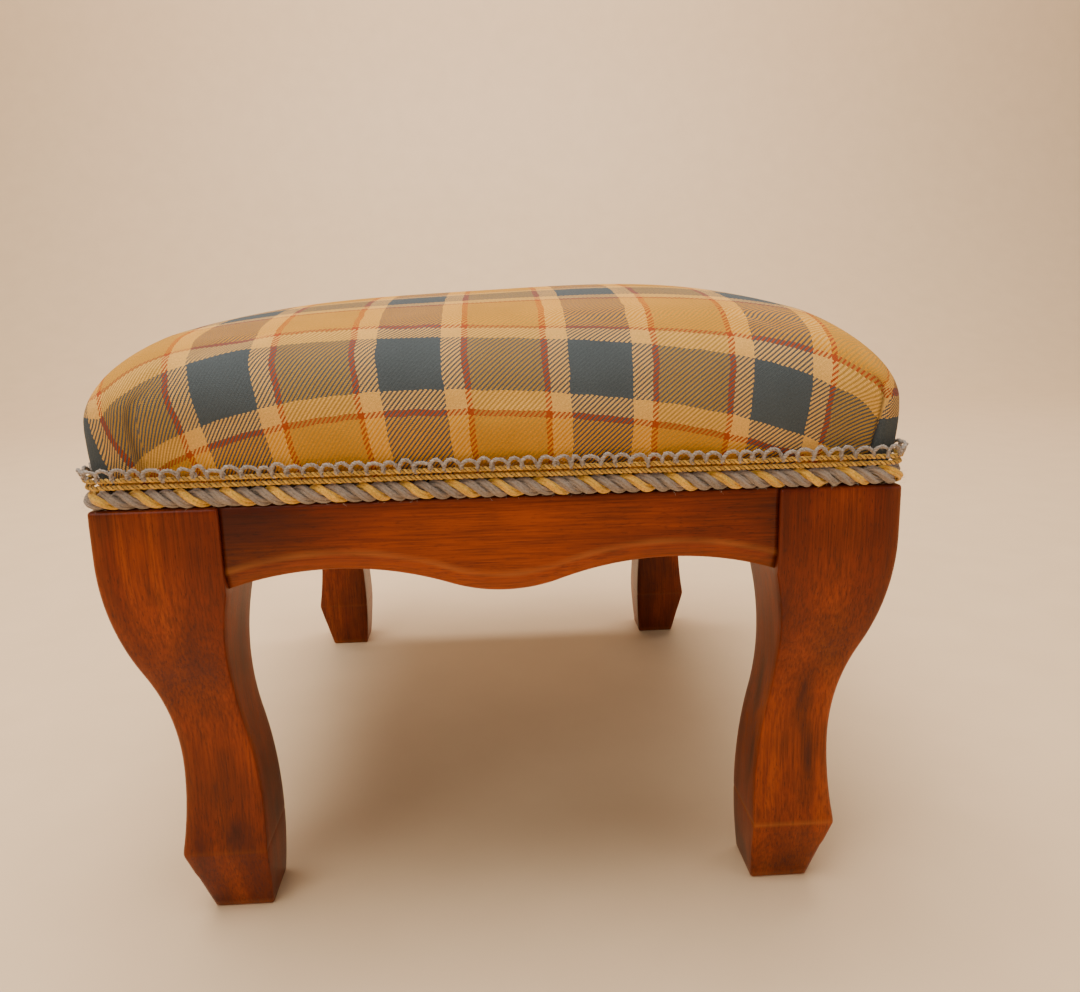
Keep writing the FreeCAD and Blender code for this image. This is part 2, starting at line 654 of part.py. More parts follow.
def make_webbing(label, quarter_turns, centre, half_length, crossings, over_first, tack_holes):
    width = value("webbing_width")
    thickness = value("webbing_thickness")
    strip = webbing_profile(half_length, crossings, over_first).extrude(Vector(0, width, 0))
    fold = value("webbing_fold")
    top = value(FRAME_TOP) + thickness
    for start in (-half_length, half_length - fold):
        strip = strip.fuse(Part.makeBox(fold, width, thickness, Vector(start, 0, top)))
    strip = strip.removeSplitter()
    strip.Placement = Placement(Vector(0, 0, 0), turn_about_z(quarter_turns))
    box = strip.BoundBox
    if quarter_turns % 2:
        strip.translate(Vector(centre - box.Center.x, 0, 0))
    else:
        strip.translate(Vector(0, centre - box.Center.y, 0))
    return add_shape(label, strip.cut(tack_holes))


# Cushion: the same form serves the cover, the wadding and the foam, each a little inside the last

def rounded_rectangle(half_x, half_y, radius, height):
    """Points round the stool, with each corner's arc as a few equal chords."""
    points = []
    for turn, (a, b) in enumerate(((half_x, half_y), (half_y, half_x)) * 2):
        rotation = turn_about_z(turn)
        for i in range(CORNER_CHORDS + 1):
            angle = math.pi / 2 * i / CORNER_CHORDS
            out, back = radius * math.sin(angle), radius * math.cos(angle)
            points.append(rotation.multVec(Vector(a - radius + out, radius - b - back, height)))
    return points


def facet(points):
    return Part.Face(Part.makePolygon(points + points[:1]))


def skin(rings, closed=False):
    """Solid inside the flat facets between neighbouring rings of points."""
    pairs = list(zip(rings, rings[1:]))
    faces = []
    if closed:
        pairs.append((rings[-1], rings[0]))
    else:
        faces = [facet(rings[0]), facet(rings[-1])]
    for lower, upper in pairs:
        for i in range(len(lower)):
            faces.append(facet([lower[i - 1], lower[i], upper[i], upper[i - 1]]))
    shell = Part.Shell(faces)
    shell.sewShape()
    solid = Part.Solid(shell)
    if solid.Volume < 0:
        solid.reverse()
    return solid


def pad_height(half, inset):
    """Height of the cushion over its fullest line, at an inset from its edge, on one mid line."""
    run = value("shoulder_run")
    fall = max(0.0, 1 - inset / run)
    shoulder = value("shoulder_rise") * math.sqrt(1 - fall ** 2)
    crown = value("crown_rise") * (1 - ((half - inset) / half) ** value("crown_power"))
    return shoulder + crown


def inset_at(half, height):
    """The inset at which the cushion reaches a height, found by halving."""
    low, high = 0.0, half
    for step in range(40):
        middle = (low + high) / 2
        if pad_height(half, middle) < height:
            low = middle
        else:
            high = middle
    return (low + high) / 2


def side_levels(bottom):
    """Rows of (overhang past the leg face, corner radius, height) up the side of the cover."""
    tucked = -value("ledge_width - cloth_play - cloth_thickness")
    roll = value("edge_overhang")
    full = value("side_overhang")
    top = value(FRAME_TOP)
    roll_height = top + value("edge_rise")
    full_height = value("side_height")
    radius = value("corner_radius")
    tucked_radius = value("cloth_thickness + cloth_play")
    rows = [(tucked, tucked_radius, bottom), (tucked, tucked_radius, top - value("cloth_play"))]
    for share, swell in ((0, 0), (0.3, 0.62), (0.65, 0.91)):
        height = roll_height + (full_height - roll_height) * share
        rows.append((roll + (full - roll) * swell, radius * (0.7 + 0.3 * swell), height))
    return rows


def crown_levels():
    """Rows of (half width, half depth, corner radius, height) over the shoulder and the crown."""
    half_x = value("stool_width / 2 + side_overhang")
    half_y = value("stool_depth / 2 + side_overhang")
    run = value("shoulder_run")
    angles = [math.pi / 2 * i / SHOULDER_ROWS for i in range(SHOULDER_ROWS)]
    insets = [run * (1 - math.cos(angle)) for angle in angles]
    insets += [half_x * share for share in (0.24, 0.38, 0.56, 0.76, 0.93)]
    rows = []
    for inset in insets:
        height = pad_height(half_x, inset)
        x = half_x - inset
        y = half_y - inset_at(half_y, height)
        radius = min(value("corner_radius") + value("corner_growth") * inset, 0.9 * x)
        rows.append((x, y, radius, value("side_height") + height))
    return rows


def level_at(height):
    """The row of the cover's side at a height between two of its rows."""
    rows = side_levels(value("ledge_height + cover_lift"))
    for lower, upper in zip(rows, rows[1:]):
        if lower[2] < height <= upper[2]:
            share = (height - lower[2]) / (upper[2] - lower[2])
            return tuple(a + (b - a) * share for a, b in zip(lower, upper))
    return rows[0]


def cushion_rings(offset, bottom):
    """Rings of the cushion's form from a height upwards, drawn in by offset."""
    least = value("soft_play")
    rows = [row for row in side_levels(value("ledge_height + cover_lift")) if row[2] > bottom + least]
    rings = []
    for overhang, radius, height in [level_at(bottom)] + rows:
        x = value("stool_width") / 2 + overhang - offset
        y = value("stool_depth") / 2 + overhang - offset
        rings.append(rounded_rectangle(x, y, max(radius - offset, least), height))
    for x, y, radius, height in crown_levels():
        corner = max(min(radius, 0.9 * x) - offset, least)
        rings.append(rounded_rectangle(x - offset, y - offset, corner, height - offset))
    return rings


def layer(outside, inside, bottom):
    """A layer of the cushion between two offsets, open at the bottom."""
    return skin(cushion_rings(inside, bottom)[::-1] + cushion_rings(outside, bottom))


def make_cushion(cover_holes):
    thickness = value("cloth_thickness")
    play = value("soft_play")
    cover = layer(0, thickness, value("ledge_height + cover_lift"))
    add_shape("seat_cover", cover.cut(cover_holes))
    seat = value(f"{HESSIAN_BOTTOM} + hessian_thickness + soft_play")
    under_cover = thickness + play
    under_wadding = under_cover + value("wadding_thickness")
    add_shape("wadding", layer(under_cover, under_wadding, seat))
    add_shape("foam_pad", skin(cushion_rings(under_wadding + play, seat)))


def make_hessian():
    cloth = doc.addObject("Part::Box", "hessian")
    inset = "(ledge_width + hessian_edge)"
    bind(cloth, Length=f"stool_width - 2 * {inset}", Width=f"stool_depth - 2 * {inset}",
         Height="hessian_thickness", Base_x=f"-stool_width / 2 + {inset}",
         Base_y=f"-stool_depth / 2 + {inset}", Base_z=HESSIAN_BOTTOM)


# Trim: a flat band, a thick rope, two thin cords and a row of loops, all round the stool

def polygon_section(sides, diameter):
    """Points (out, up) of a round section; its flats lie level on top and at the bottom."""
    angles = [2 * math.pi * (i + 0.5) / sides for i in range(sides)]
    radius = diameter / 2 / math.cos(math.pi / sides)
    return [(radius * math.sin(angle), radius * math.cos(angle)) for angle in angles]


def flat_section(thickness, height):
    a, b = thickness / 2, height / 2
    return [(-a, -b), (a, -b), (a, b), (-a, b)]


def trim_row(label, section, overhang, corner, height):
    """A section carried round the stool; overhang runs from the leg faces to its middle."""
    half_x = value("stool_width") / 2 + overhang
    half_y = value("stool_depth") / 2 + overhang
    rings = [rounded_rectangle(half_x + out, half_y + out, corner + out, height + up) for out, up in section]
    add_shape(label, skin(rings, closed=True))


def make_trim():
    play = value("trim_play")
    tuck = -value("ledge_width - cloth_play - cloth_thickness - 2 * tack_play - tack_head_height")
    corner = value("rope_corner")
    level = value("ledge_height") + play
    band = value("band_thickness")
    band_height = value("band_height")
    trim_row("gimp_band", flat_section(band, band_height), tuck + band / 2, band, level + band_height / 2)
    rope = value("rope_diameter")
    rope_line = tuck + band + play + rope / 2
    trim_row("gimp_rope", polygon_section(ROPE_SIDES, rope), rope_line, corner - rope / 2, level + rope / 2)
    level += rope + play
    cord = value("cord_diameter")
    line = value("cord_overhang")
    for label, lean in (("gimp_cord_lower", 0), ("gimp_cord_upper", value("cord_lean"))):
        trim_row(label, polygon_section(CORD_SIDES, cord), line + lean, corner - cord / 2, level + cord / 2)
        level += cord + play
    loop = value("loop_thickness")
    height = value("loop_height")
    line = value("loop_overhang") + loop / 2
    trim_row("gimp_loops", flat_section(loop, height), line, corner - loop / 2, level + height / 2)


# Dust cover under the stool: a flat panel notched round the legs, with its hems turned up

def make_dust_cover(tack_holes):
    inset = f"({RAIL_INNER} + dust_play)"
    bottom = "(block_bottom - dust_thickness)"
    panel = doc.addObject("Part::Box", "dust_panel")
    bind(panel, Length=f"stool_width - 2 * {inset}", Width=f"stool_depth - 2 * {inset}",
         Height="dust_thickness", Base_x=f"-stool_width / 2 + {inset}",
         Base_y=f"-stool_depth / 2 + {inset}", Base_z=bottom)
    notches = []
    for place, quarter_turns, across, along in CORNERS:
        notch = doc.addObject("Part::Box", "dust_notch_" + place)
        stand(notch, quarter_turns, across, along)
        bind(notch, Length="leg_block + dust_play", Width="leg_block + dust_play",
             Height=f"dust_thickness + 2 * {OVERCUT}", Base_z=f"{bottom} - {OVERCUT}")
        notches.append(notch)
    cut_away = doc.addObject("Part::MultiFuse", "dust_notches")
    cut_away.Shapes = notches
    notched = doc.addObject("Part::Cut", "dust_panel_notched")
    notched.Base = panel
    notched.Tool = cut_away
    pieces = [notched]
    for place, quarter_turns, length, across, along in SIDES:
        hem = doc.addObject("Part::Box", "dust_hem_" + place)
        hem.Placement = Placement(Vector(), turn_about_z(quarter_turns))
        run = f"({length} + 2 * leg_block - 2 * block_reach - 2 * hem_gap)"
        half = ("stool_depth / 2", "stool_width / 2")[quarter_turns % 2]
        start = turn_about_z(quarter_turns).multVec(Vector(-1, -1, 0))
        depth = f"({half} - {inset})"
        reach = (f"({run} / 2)", depth) if quarter_turns % 2 == 0 else (depth, f"({run} / 2)")
        bind(hem, Length=run, Width="dust_thickness", Height="hem_height", Base_z=bottom,
             Base_x=f"{round(start.x)} * {reach[0]}", Base_y=f"{round(start.y)} * {reach[1]}")
        pieces.append(hem)
    whole = doc.addObject("Part::MultiFuse", "dust_cover_sewn")
    whole.Shapes = pieces
    cover = doc.addObject("Part::Cut", "dust_cover")
    cover.Base = whole
    cover.Tool = tack_holes
    return cover


# Building

tack = make_tack()
screw = make_screw()
doc.recompute()

webbing_tacks = webbing_tack_places()
cover_tacks = cover_tack_places()
hem_tacks = hem_tack_places()
pilot_depth = value("tack_length + tack_play")
tack_hole = value("tack_hole")
webbing_holes = holes(tack_hole, pilot_depth, webbing_tacks)
cover_holes = holes(tack_hole, pilot_depth, cover_tacks)
hem_holes = holes(tack_hole, pilot_depth, hem_tacks)
all_pilots = add_shape("tack_pilots", Part.makeCompound([webbing_holes, cover_holes, hem_holes]))
hem_pilots = add_shape("hem_pilots", hem_holes)

for corner in CORNERS:
    make_leg(*corner)
    make_corner_block(*corner)
for side in SIDES:
    blank = make_rail_blank(*side)
    rail = doc.addObject("Part::Cut", "rail_" + side[0])
    rail.Base = blank
    rail.Tool = all_pilots

add_shape("corner_block_screws", copies(screw.Shape, screw_places()))
add_shape("webbing_tacks", copies(tack.Shape, webbing_tacks))
add_shape("cover_tacks", copies(tack.Shape, cover_tacks))
add_shape("dust_cover_tacks", copies(tack.Shape, hem_tacks))

long_half = value("stool_depth / 2 - webbing_end")
cross_half = value("stool_width / 2 - webbing_end")
for i, centre in enumerate(long_strips()):
    make_webbing(f"webbing_long_{i + 1}", 1, centre, long_half, cross_strips(), i % 2 == 0, webbing_holes)
for i, centre in enumerate(cross_strips()):
    make_webbing(f"webbing_cross_{i + 1}", 0, centre, cross_half, long_strips(), i % 2 == 1, webbing_holes)
make_hessian()
make_cushion(cover_holes)
make_trim()
make_dust_cover(hem_pilots)
doc.recompute()

NODES = ["leg_" + corner[0] for corner in CORNERS]
NODES += ["corner_block_" + corner[0] for corner in CORNERS]
NODES += ["rail_" + side[0] for side in SIDES]
NODES += ["corner_block_screws", "webbing_tacks", "cover_tacks", "dust_cover_tacks"]
NODES += [f"webbing_long_{i + 1}" for i in range(LONG_STRIPS)]
NODES += [f"webbing_cross_{i + 1}" for i in range(CROSS_STRIPS)]
NODES += ["hessian", "foam_pad", "wadding", "seat_cover"]
NODES += ["gimp_band", "gimp_rope", "gimp_cord_lower", "gimp_cord_upper", "gimp_loops", "dust_cover"]

for thing in doc.Objects:
    if "Invalid" in thing.State or "Error" in thing.State:
        raise RuntimeError(f"{thing.Name} did not build: {thing.State}")
os.makedirs("parts", exist_ok=True)
for name in NODES:
    node = doc.getObject(name)
    node.Label = name
    if node.Shape.isNull() or not node.Shape.isValid():
        raise RuntimeError(f"{name} has no valid shape")
    node.Shape.exportStep(os.path.join("parts", name + ".step"))
    print(name, len(node.Shape.Solids), round(node.Shape.Volume, 1))
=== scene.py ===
import math

import bpy
import numpy as np
from mathutils import Matrix, Vector


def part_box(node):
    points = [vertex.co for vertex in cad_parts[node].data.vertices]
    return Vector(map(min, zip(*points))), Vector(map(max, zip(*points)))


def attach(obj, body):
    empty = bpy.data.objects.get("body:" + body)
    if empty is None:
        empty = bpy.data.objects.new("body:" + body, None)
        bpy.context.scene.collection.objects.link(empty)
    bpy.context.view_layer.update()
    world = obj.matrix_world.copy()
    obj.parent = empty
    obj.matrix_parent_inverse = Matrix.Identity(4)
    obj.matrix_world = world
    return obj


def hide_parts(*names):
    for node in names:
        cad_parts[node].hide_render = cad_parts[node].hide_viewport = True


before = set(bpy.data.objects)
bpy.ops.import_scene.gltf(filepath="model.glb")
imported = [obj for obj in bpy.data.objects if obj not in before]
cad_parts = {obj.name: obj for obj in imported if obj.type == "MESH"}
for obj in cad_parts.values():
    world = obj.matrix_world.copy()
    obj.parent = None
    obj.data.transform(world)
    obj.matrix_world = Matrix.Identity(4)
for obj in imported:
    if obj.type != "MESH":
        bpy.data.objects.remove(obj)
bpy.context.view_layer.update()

# Looks of the upholstered footstool. Shapes are worked out in millimetres and made in metres.
# The front is -Y, the left is -X and the floor is z = 0.

RNG = np.random.default_rng(7)
MM = 0.001

# The stool's main sizes, as in the CAD model
HALF_X, HALF_Y = 160.0, 200.0
LEDGE, EDGE_TOP, LEDGE_WIDTH = 190.0, 197.0, 8.5
LEG_BLOCK = 49.4
RAIL_DEPTH, RAIL_BACK = 22.0, 1.8

# Turns that carry the front left corner, or the front side, to each of the four
CORNERS = (("front_left", 0), ("front_right", 1), ("rear_right", 2), ("rear_left", 3))
SIDES = (("front", 0), ("right", 1), ("rear", 2), ("left", 3))


def turned(points, quarter_turns):
    x, y = points[..., 0], points[..., 1]
    for _ in range(quarter_turns):
        x, y = -y, x
    return np.stack([x, y, points[..., 2]], axis=-1)


def ring_faces(rows, columns, close_rows=False, close_columns=True):
    """Quads between neighbouring rows of points, numbered row by row."""
    faces = []
    for i in range(rows if close_rows else rows - 1):
        for j in range(columns if close_columns else columns - 1):
            k, n = (i + 1) % rows, (j + 1) % columns
            faces.append((i * columns + j, i * columns + n, k * columns + n, k * columns + j))
    return faces


def joined_rings(rings):
    """Quads between neighbouring rings of point numbers."""
    ahead = np.roll(rings, -1, axis=1)
    quads = np.stack([rings[:-1], rings[1:], ahead[1:], ahead[:-1]], axis=-1)
    return [tuple(quad) for quad in quads.reshape(-1, 4).tolist()]


def add_mesh(name, points, faces):
    data = bpy.data.meshes.new(name)
    data.from_pydata((np.asarray(points, float).reshape(-1, 3) * MM).tolist(), [], faces)
    data.validate()
    data.update()
    piece = bpy.data.objects.new(name, data)
    bpy.context.scene.collection.objects.link(piece)
    for polygon in data.polygons:
        polygon.use_smooth = True
    return piece


def finished(piece, material, slot, *nodes):
    """Gives a piece its material and its body, and hides the CAD nodes that it stands for; slot is not used.
    """
    piece.data.materials.clear()
    piece.data.materials.append(material)
    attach(piece, "root")
    if nodes:
        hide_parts(*nodes)
    return piece


def set_attribute(piece, name, values):
    layer = piece.data.attributes.new(name, "FLOAT", "POINT")
    layer.data.foreach_set("value", np.asarray(values, np.float32).ravel())


# Materials

class Nodes:
    """Short calls for building a material's node tree."""

    def __init__(self, name):
        self.material = bpy.data.materials.new(name)
        self.material.use_nodes = True
        self.tree = self.material.node_tree
        self.tree.nodes.clear()
        self.shader = self.add("ShaderNodeBsdfPrincipled")
        output = self.add("ShaderNodeOutputMaterial")
        self.feed(output.inputs["Surface"], self.shader.outputs["BSDF"])

    def add(self, kind, **settings):
        node = self.tree.nodes.new(kind)
        for key, value in settings.items():
            setattr(node, key, value)
        return node

    def feed(self, socket, value):
        """Links a socket or sets its value; a colour of three numbers gets its alpha."""
        if isinstance(value, bpy.types.NodeSocket):
            self.tree.links.new(value, socket)
        else:
            is_colour = isinstance(value, tuple) and len(value) == 3
            socket.default_value = (*value, 1.0) if is_colour else value

    def math(self, operation, first, second=0.0, third=0.0):
        node = self.add("ShaderNodeMath", operation=operation)
        for socket, value in zip(node.inputs, (first, second, third)):
            self.feed(socket, value)
        return node.outputs[0]

    def mix(self, share, first, second, blend="MIX"):
        node = self.add("ShaderNodeMix", data_type="RGBA", blend_type=blend)
        for number, value in ((0, share), (6, first), (7, second)):
            self.feed(node.inputs[number], value)
        return node.outputs[2]

    def ramp(self, value, stops, interpolation="LINEAR"):
        node = self.add("ShaderNodeValToRGB")
        node.color_ramp.interpolation = interpolation
        elements = node.color_ramp.elements
        while len(elements) < len(stops):
            elements.new(0.5)
        for element, (place, colour) in zip(elements, stops):
            element.position = place
            element.color = (*colour, 1.0) if isinstance(colour, tuple) else (colour, colour, colour, 1.0)
        self.feed(node.inputs[0], value)
        return node.outputs[0]

    def shade(self, colour, value, stops, share=1.0):
        """Darkens or brightens a colour by a ramp over a value."""
        return self.mix(share, colour, self.ramp(value, stops), blend="MULTIPLY")

    def position(self, scale=(1, 1, 1), shift=(0, 0, 0)):
        """The object's own coordinates, in millimetres times scale."""
        mapping = self.add("ShaderNodeMapping")
        mapping.inputs["Scale"].default_value = [s / MM for s in scale]
        mapping.inputs["Location"].default_value = shift
        self.feed(mapping.inputs["Vector"], self.add("ShaderNodeTexCoord").outputs["Object"])
        return mapping.outputs["Vector"]

    def noise(self, vector, scale=1.0, detail=3.0, roughness=0.5, distortion=0.0, dimensions="3D"):
        node = self.add("ShaderNodeTexNoise", noise_dimensions=dimensions)
        for key, value in (("Vector", vector), ("Scale", scale), ("Detail", detail), ("Roughness", roughness),
                           ("Distortion", distortion)):
            self.feed(node.inputs[key], value)
        return node.outputs["Fac"]

    def attribute(self, name):
        return self.add("ShaderNodeAttribute", attribute_name=name).outputs["Fac"]

    def cloth(self):
        return self.add("ShaderNodeUVMap", uv_map="cloth").outputs["UV"]

    def swayed(self, cloth, sway, size):
        """Both coordinates of the cloth, pushed to and fro within size by a noise."""
        split = self.add("ShaderNodeSeparateXYZ")
        self.feed(split.inputs[0], cloth)
        shift = self.math("MULTIPLY_ADD", sway, size, -size / 2)
        return self.math("ADD", split.outputs[0], shift), self.math("SUBTRACT", split.outputs[1], shift)

    def woven(self, u, v, thread, repeat, shown):
        """Where the warp lies on top, and how far the thread on top bulges."""
        parts = [self.math("DIVIDE", place, thread) for place in (u, v)]
        number = self.math("ADD", *[self.math("FLOOR", part) for part in parts])
        over = self.math("LESS_THAN", self.math("FLOORED_MODULO", number, repeat), shown)
        warp, weft = [self.math("SINE", self.math("MULTIPLY", self.math("FRACT", part), math.pi))
                      for part in parts]
        return over, self.math("MULTIPLY_ADD", over, self.math("SUBTRACT", warp, weft), weft)

    def bump(self, height, strength, distance):
        node = self.add("ShaderNodeBump")
        for key, value in (("Strength", strength), ("Distance", distance * MM), ("Height", height)):
            self.feed(node.inputs[key], value)
        return node.outputs["Normal"]

    def finish(self, colour, roughness, normal, **sockets):
        """Feeds the shader; a socket's name has underscores for its spaces."""
        sockets.update(Base_Color=colour, Roughness=roughness, Normal=normal)
        for key, value in sockets.items():
            self.feed(self.shader.inputs[key.replace("_", " ")], value)
        return self.material


def wood_material(name, grain_axis, shift, stained=True):
    """Beech with long grain, short dark flecks and, when stained, darker and lighter bands."""
    n = Nodes(name)

    def drawn_out(share):
        """Coordinates in which what is even comes out long along the grain."""
        scale = [1.0, 1.0, 1.0]
        scale[grain_axis] = share
        return n.position(scale, shift)

    bands = n.noise(drawn_out(0.09), scale=0.055, detail=4, roughness=0.55, distortion=0.6)
    streaks = n.noise(drawn_out(0.03), scale=1.1, detail=5, roughness=0.65)
    flecks = n.ramp(n.noise(drawn_out(0.16), scale=1.9, detail=2, roughness=0.4), ((0.60, 0.0), (0.72, 1.0)))
    if stained:
        base = n.ramp(bands, ((0.28, (0.115, 0.0125, 0.0008)), (0.45, (0.205, 0.0250, 0.0010)),
                              (0.60, (0.300, 0.0430, 0.0012)), (0.78, (0.420, 0.0750, 0.0025))))
        streak_dark, fleck_dark = (0.060, 0.0070, 0.0006), (0.030, 0.0040, 0.0008)
    else:
        base = n.ramp(bands, ((0.3, (0.50, 0.33, 0.18)), (0.7, (0.66, 0.47, 0.28))))
        streak_dark, fleck_dark = (0.36, 0.22, 0.11), (0.25, 0.14, 0.07)
    streak_share = n.math("MULTIPLY", n.ramp(streaks, ((0.36, 1.0), (0.60, 0.0))), 0.60)
    colour = n.mix(streak_share, base, streak_dark)
    colour = n.mix(n.math("MULTIPLY", flecks, 0.5), colour, fleck_dark)
    roughness = n.math("MULTIPLY_ADD", streaks, 0.16, 0.30)
    normal = n.bump(n.math("SUBTRACT", streaks, n.math("MULTIPLY", flecks, 0.8)), 0.35, 0.12)
    if not stained:
        return n.finish(colour, n.math("ADD", roughness, 0.3), normal)
    mottle = n.noise(n.position(shift=shift), scale=0.03, detail=3, roughness=0.6)
    colour = n.shade(colour, mottle, ((0.3, 0.72), (0.7, 1.12)))
    # Painted light and shade: the glow tone is a painted highlight, the near-black tone is real stain with
    # painted shade, and the pale tone is real wear with painted highlights along edges.
    lit = n.math("MULTIPLY", n.attribute("glow"), n.ramp(streaks, ((0.34, 0.15), (0.62, 0.72))))
    for share, tone in ((lit, (0.40, 0.062, 0.0008)), (n.attribute("stain"), (0.018, 0.0030, 0.0008)),
                        (n.attribute("wear"), (0.55, 0.19, 0.030))):
        colour = n.mix(share, colour, tone)
    roughness = n.math("MULTIPLY_ADD", n.attribute("wear"), 0.25, roughness)
    return n.finish(colour, roughness, normal, Coat_Weight=0.07, Coat_Roughness=0.22, Specular_IOR_Level=0.22)


def stained_piece(node, points, quarter_turns, material, **shades):
    """A piece of the frame from its sections, closed at both ends, shaded point by point."""
    rows, count = points.shape[:2]
    last = (rows - 1) * count
    faces = ring_faces(rows, count) + [tuple(range(count - 1, -1, -1)), tuple(range(last, last + count))]
    piece = add_mesh(node + "_wood", turned(points, quarter_turns), faces)
    for name, values in shades.items():
        set_attribute(piece, name, values)
    finished(piece, material, "stained_beech", node)


# Legs: every level of a leg is a square between its outer and its inner outline

def arc_through(centre_x, centre_z, radius, z, side):
    return centre_x + side * np.sqrt(np.maximum(radius ** 2 - (z - centre_z) ** 2, 0))


def outer_inset(z):
    """Outer face of the leg's block to the leg, at heights z."""
    toe, shoulder, ankle, knee_radius = 23.9, 15.1, 18.6, 140.0
    shoulder_z, ankle_z, knee_z = 32.0, 72.0, 170.0
    rise = knee_z - ankle_z
    upper = ((knee_radius - ankle) ** 2 + rise ** 2 - knee_radius ** 2) / (2 * ankle)
    dip = ankle - shoulder
    lower = ((ankle_z - shoulder_z) ** 2 + dip ** 2) / (2 * dip)
    bend_z = ankle_z + rise * upper / (upper + knee_radius)
    return np.select(
        [z < shoulder_z, z < ankle_z, z < bend_z, z < knee_z],
        [toe + (shoulder - toe) * z / shoulder_z, arc_through(ankle - lower, ankle_z, lower, z, 1),
         arc_through(ankle - upper, ankle_z, upper, z, 1),
         arc_through(knee_radius, knee_z, knee_radius, z, -1)],
        0.0)


def inner_reach(z):
    """Outer face of the leg's block to the back of the leg, at heights z."""
    calf, hollow, radius = 51.8, 44.9, 172.0
    calf_z, hollow_z = 33.0, 115.0
    step = calf - hollow
    calf_radius = (step ** 2 + (hollow_z - calf_z) ** 2) / (2 * step) - radius
    sway_z = calf_z + (hollow_z - calf_z) * calf_radius / (calf_radius + radius)
    behind = np.minimum(arc_through(hollow + radius, hollow_z, radius, z, -1), LEG_BLOCK)
    return np.select([z < sway_z, z < hollow_z], [arc_through(calf - calf_radius, calf_z, calf_radius, z, 1),
                                                  behind], np.where(z < 160, behind, LEG_BLOCK))


def rounded_square(low, high, radii):
    """Ring round a square from (low, low), with a radius for each corner and points along its sides."""
    arcs = []
    centres = ((low, low, 180), (high, low, 270), (high, high, 0), (low, high, 90))
    for radius, (x, y, start) in zip(radii, centres):
        centre = (x + radius * (1 if x == low else -1), y + radius * (1 if y == low else -1))
        angles = np.radians(start + np.linspace(0, 90, 4))
        arcs.append(centre + radius * np.column_stack([np.cos(angles), np.sin(angles)]))
    straights = [np.linspace(arc[-1], following[0], 9)[1:-1]
                 for arc, following in zip(arcs, arcs[1:] + arcs[:1])]
    return np.concatenate([part for pair in zip(arcs, straights) for part in pair])


def leg_levels():
    """Heights of a leg's sections, and how far each is drawn in to break its sharp edges."""
    levels = [(0.0, 0.9), (0.3, 0.4), (0.9, 0.0)]
    levels += [(z, 0.0) for z in np.linspace(4, 30.6, 9)]
    levels += [(31.3, 0.06), (32.0, 0.22), (32.7, 0.1)]
    levels += [(z, 0.0) for z in np.linspace(34, 187, 66)]
    return levels + [(LEDGE - 1.4, 0.0), (LEDGE - 0.7, 0.15), (LEDGE - 0.25, 0.5), (LEDGE, 1.1)]


LEG_STAINS = {
    # Corner: (across from the outer face, height, half width, half height, strength)
    "front_left": ((38.0, 40, 5, 9, 0.75), (30.0, 128, 9, 22, 0.35), (33, 58, 9, 16, 0.40),
                   (8, 188, 5, 8, 0.3)),
    "front_right": ((31.0, 92, 3.4, 16, 0.80), (27.0, 62, 1.8, 14, 0.85), (28.5, 48, 2.4, 8, 0.7),
                    (22, 118, 9, 18, 0.40), (35, 8, 11, 7, 0.5)),
    "rear_right": ((30.0, 60, 5, 20, 0.4),),
    "rear_left": ((30.0, 90, 6, 26, 0.4),),
}


def make_leg(place, quarter_turns, material):
    sections = []
    for z, shrink in leg_levels():
        low = float(outer_inset(np.array(z))) + shrink
        high = float(inner_reach(np.array(z))) - shrink
        soft = 1.0 if z > 20 else 1.6
        radii = (1.5 * soft, 0.9 * soft, 0.9, 0.9 * soft)
        sections.append((z, rounded_square(low, high, [max(0.3, r - shrink) for r in radii])))
    for z in (LEDGE, LEDGE + 0.25, EDGE_TOP - 0.4, EDGE_TOP):
        low = LEDGE_WIDTH + (0.5 if z == EDGE_TOP else 0.0)
        sections.append((z, rounded_square(low, LEG_BLOCK, [0.5] * 4)))
    points = np.array([np.column_stack([flat, np.full(len(flat), z)]) for z, flat in sections])
    # Saw and sanding marks: the faces are never quite flat
    wave = 0.16 * np.sin(points[..., 2] / 17 + quarter_turns) * np.sin(points[..., 0] / 11 + 1)
    body = (points[..., 2] > 2) & (points[..., 2] < 186)
    points[..., 0] += np.where(body, wave, 0) * 0.6
    across, along, height = (points[..., k].copy() for k in range(3))
    low = outer_inset(height)
    edge = np.minimum(np.abs(across - low), 9) + np.minimum(np.abs(along - low), 9)
    # Lighter along the arrises, the bottom edge and the shoulder line at the widest point: painted highlights
    # with some real wear.
    shoulder_wear = 0.22 if place == "front_right" else 0.05
    wear = np.clip(1 - edge / 1.7, 0, 1) * 0.35 + np.clip(1 - height / 3.0, 0, 1) * 0.25
    wear += np.clip(1 - np.abs(height - 32) / 1.5, 0, 1) * shoulder_wear
    # Darker towards the bottom of the leg.
    stain = np.clip((27 - height) / 30, 0, 1) * (0.16 if place == "front_left" else 0.30)
    for x, z, half_x, half_z, strength in LEG_STAINS[place]:
        for coordinate in (across, along):
            spot = np.exp(-((coordinate - x) / half_x) ** 2 - ((height - z) / half_z) ** 2)
            stain = np.maximum(stain, strength * spot)
    # Painted shade on the leg's inner faces, turned in towards the middle of the stool.
    hidden = np.clip((across + along - 1.7 * LEG_BLOCK) / 12, 0, 1) * 0.35
    halves = (HALF_X, HALF_Y) if quarter_turns % 2 == 0 else (HALF_Y, HALF_X)
    points[..., :2] -= halves
    # The lighter band round the leg's middle height is a painted highlight.
    stained_piece("leg_" + place, points, quarter_turns, material, stain=np.maximum(stain, hidden),
                  wear=np.clip(wear, 0, 1), glow=0.35 * np.exp(-((height - 90) / 34) ** 2))


# Rails: the same section all along, lifted and lowered with the shaped lower edge

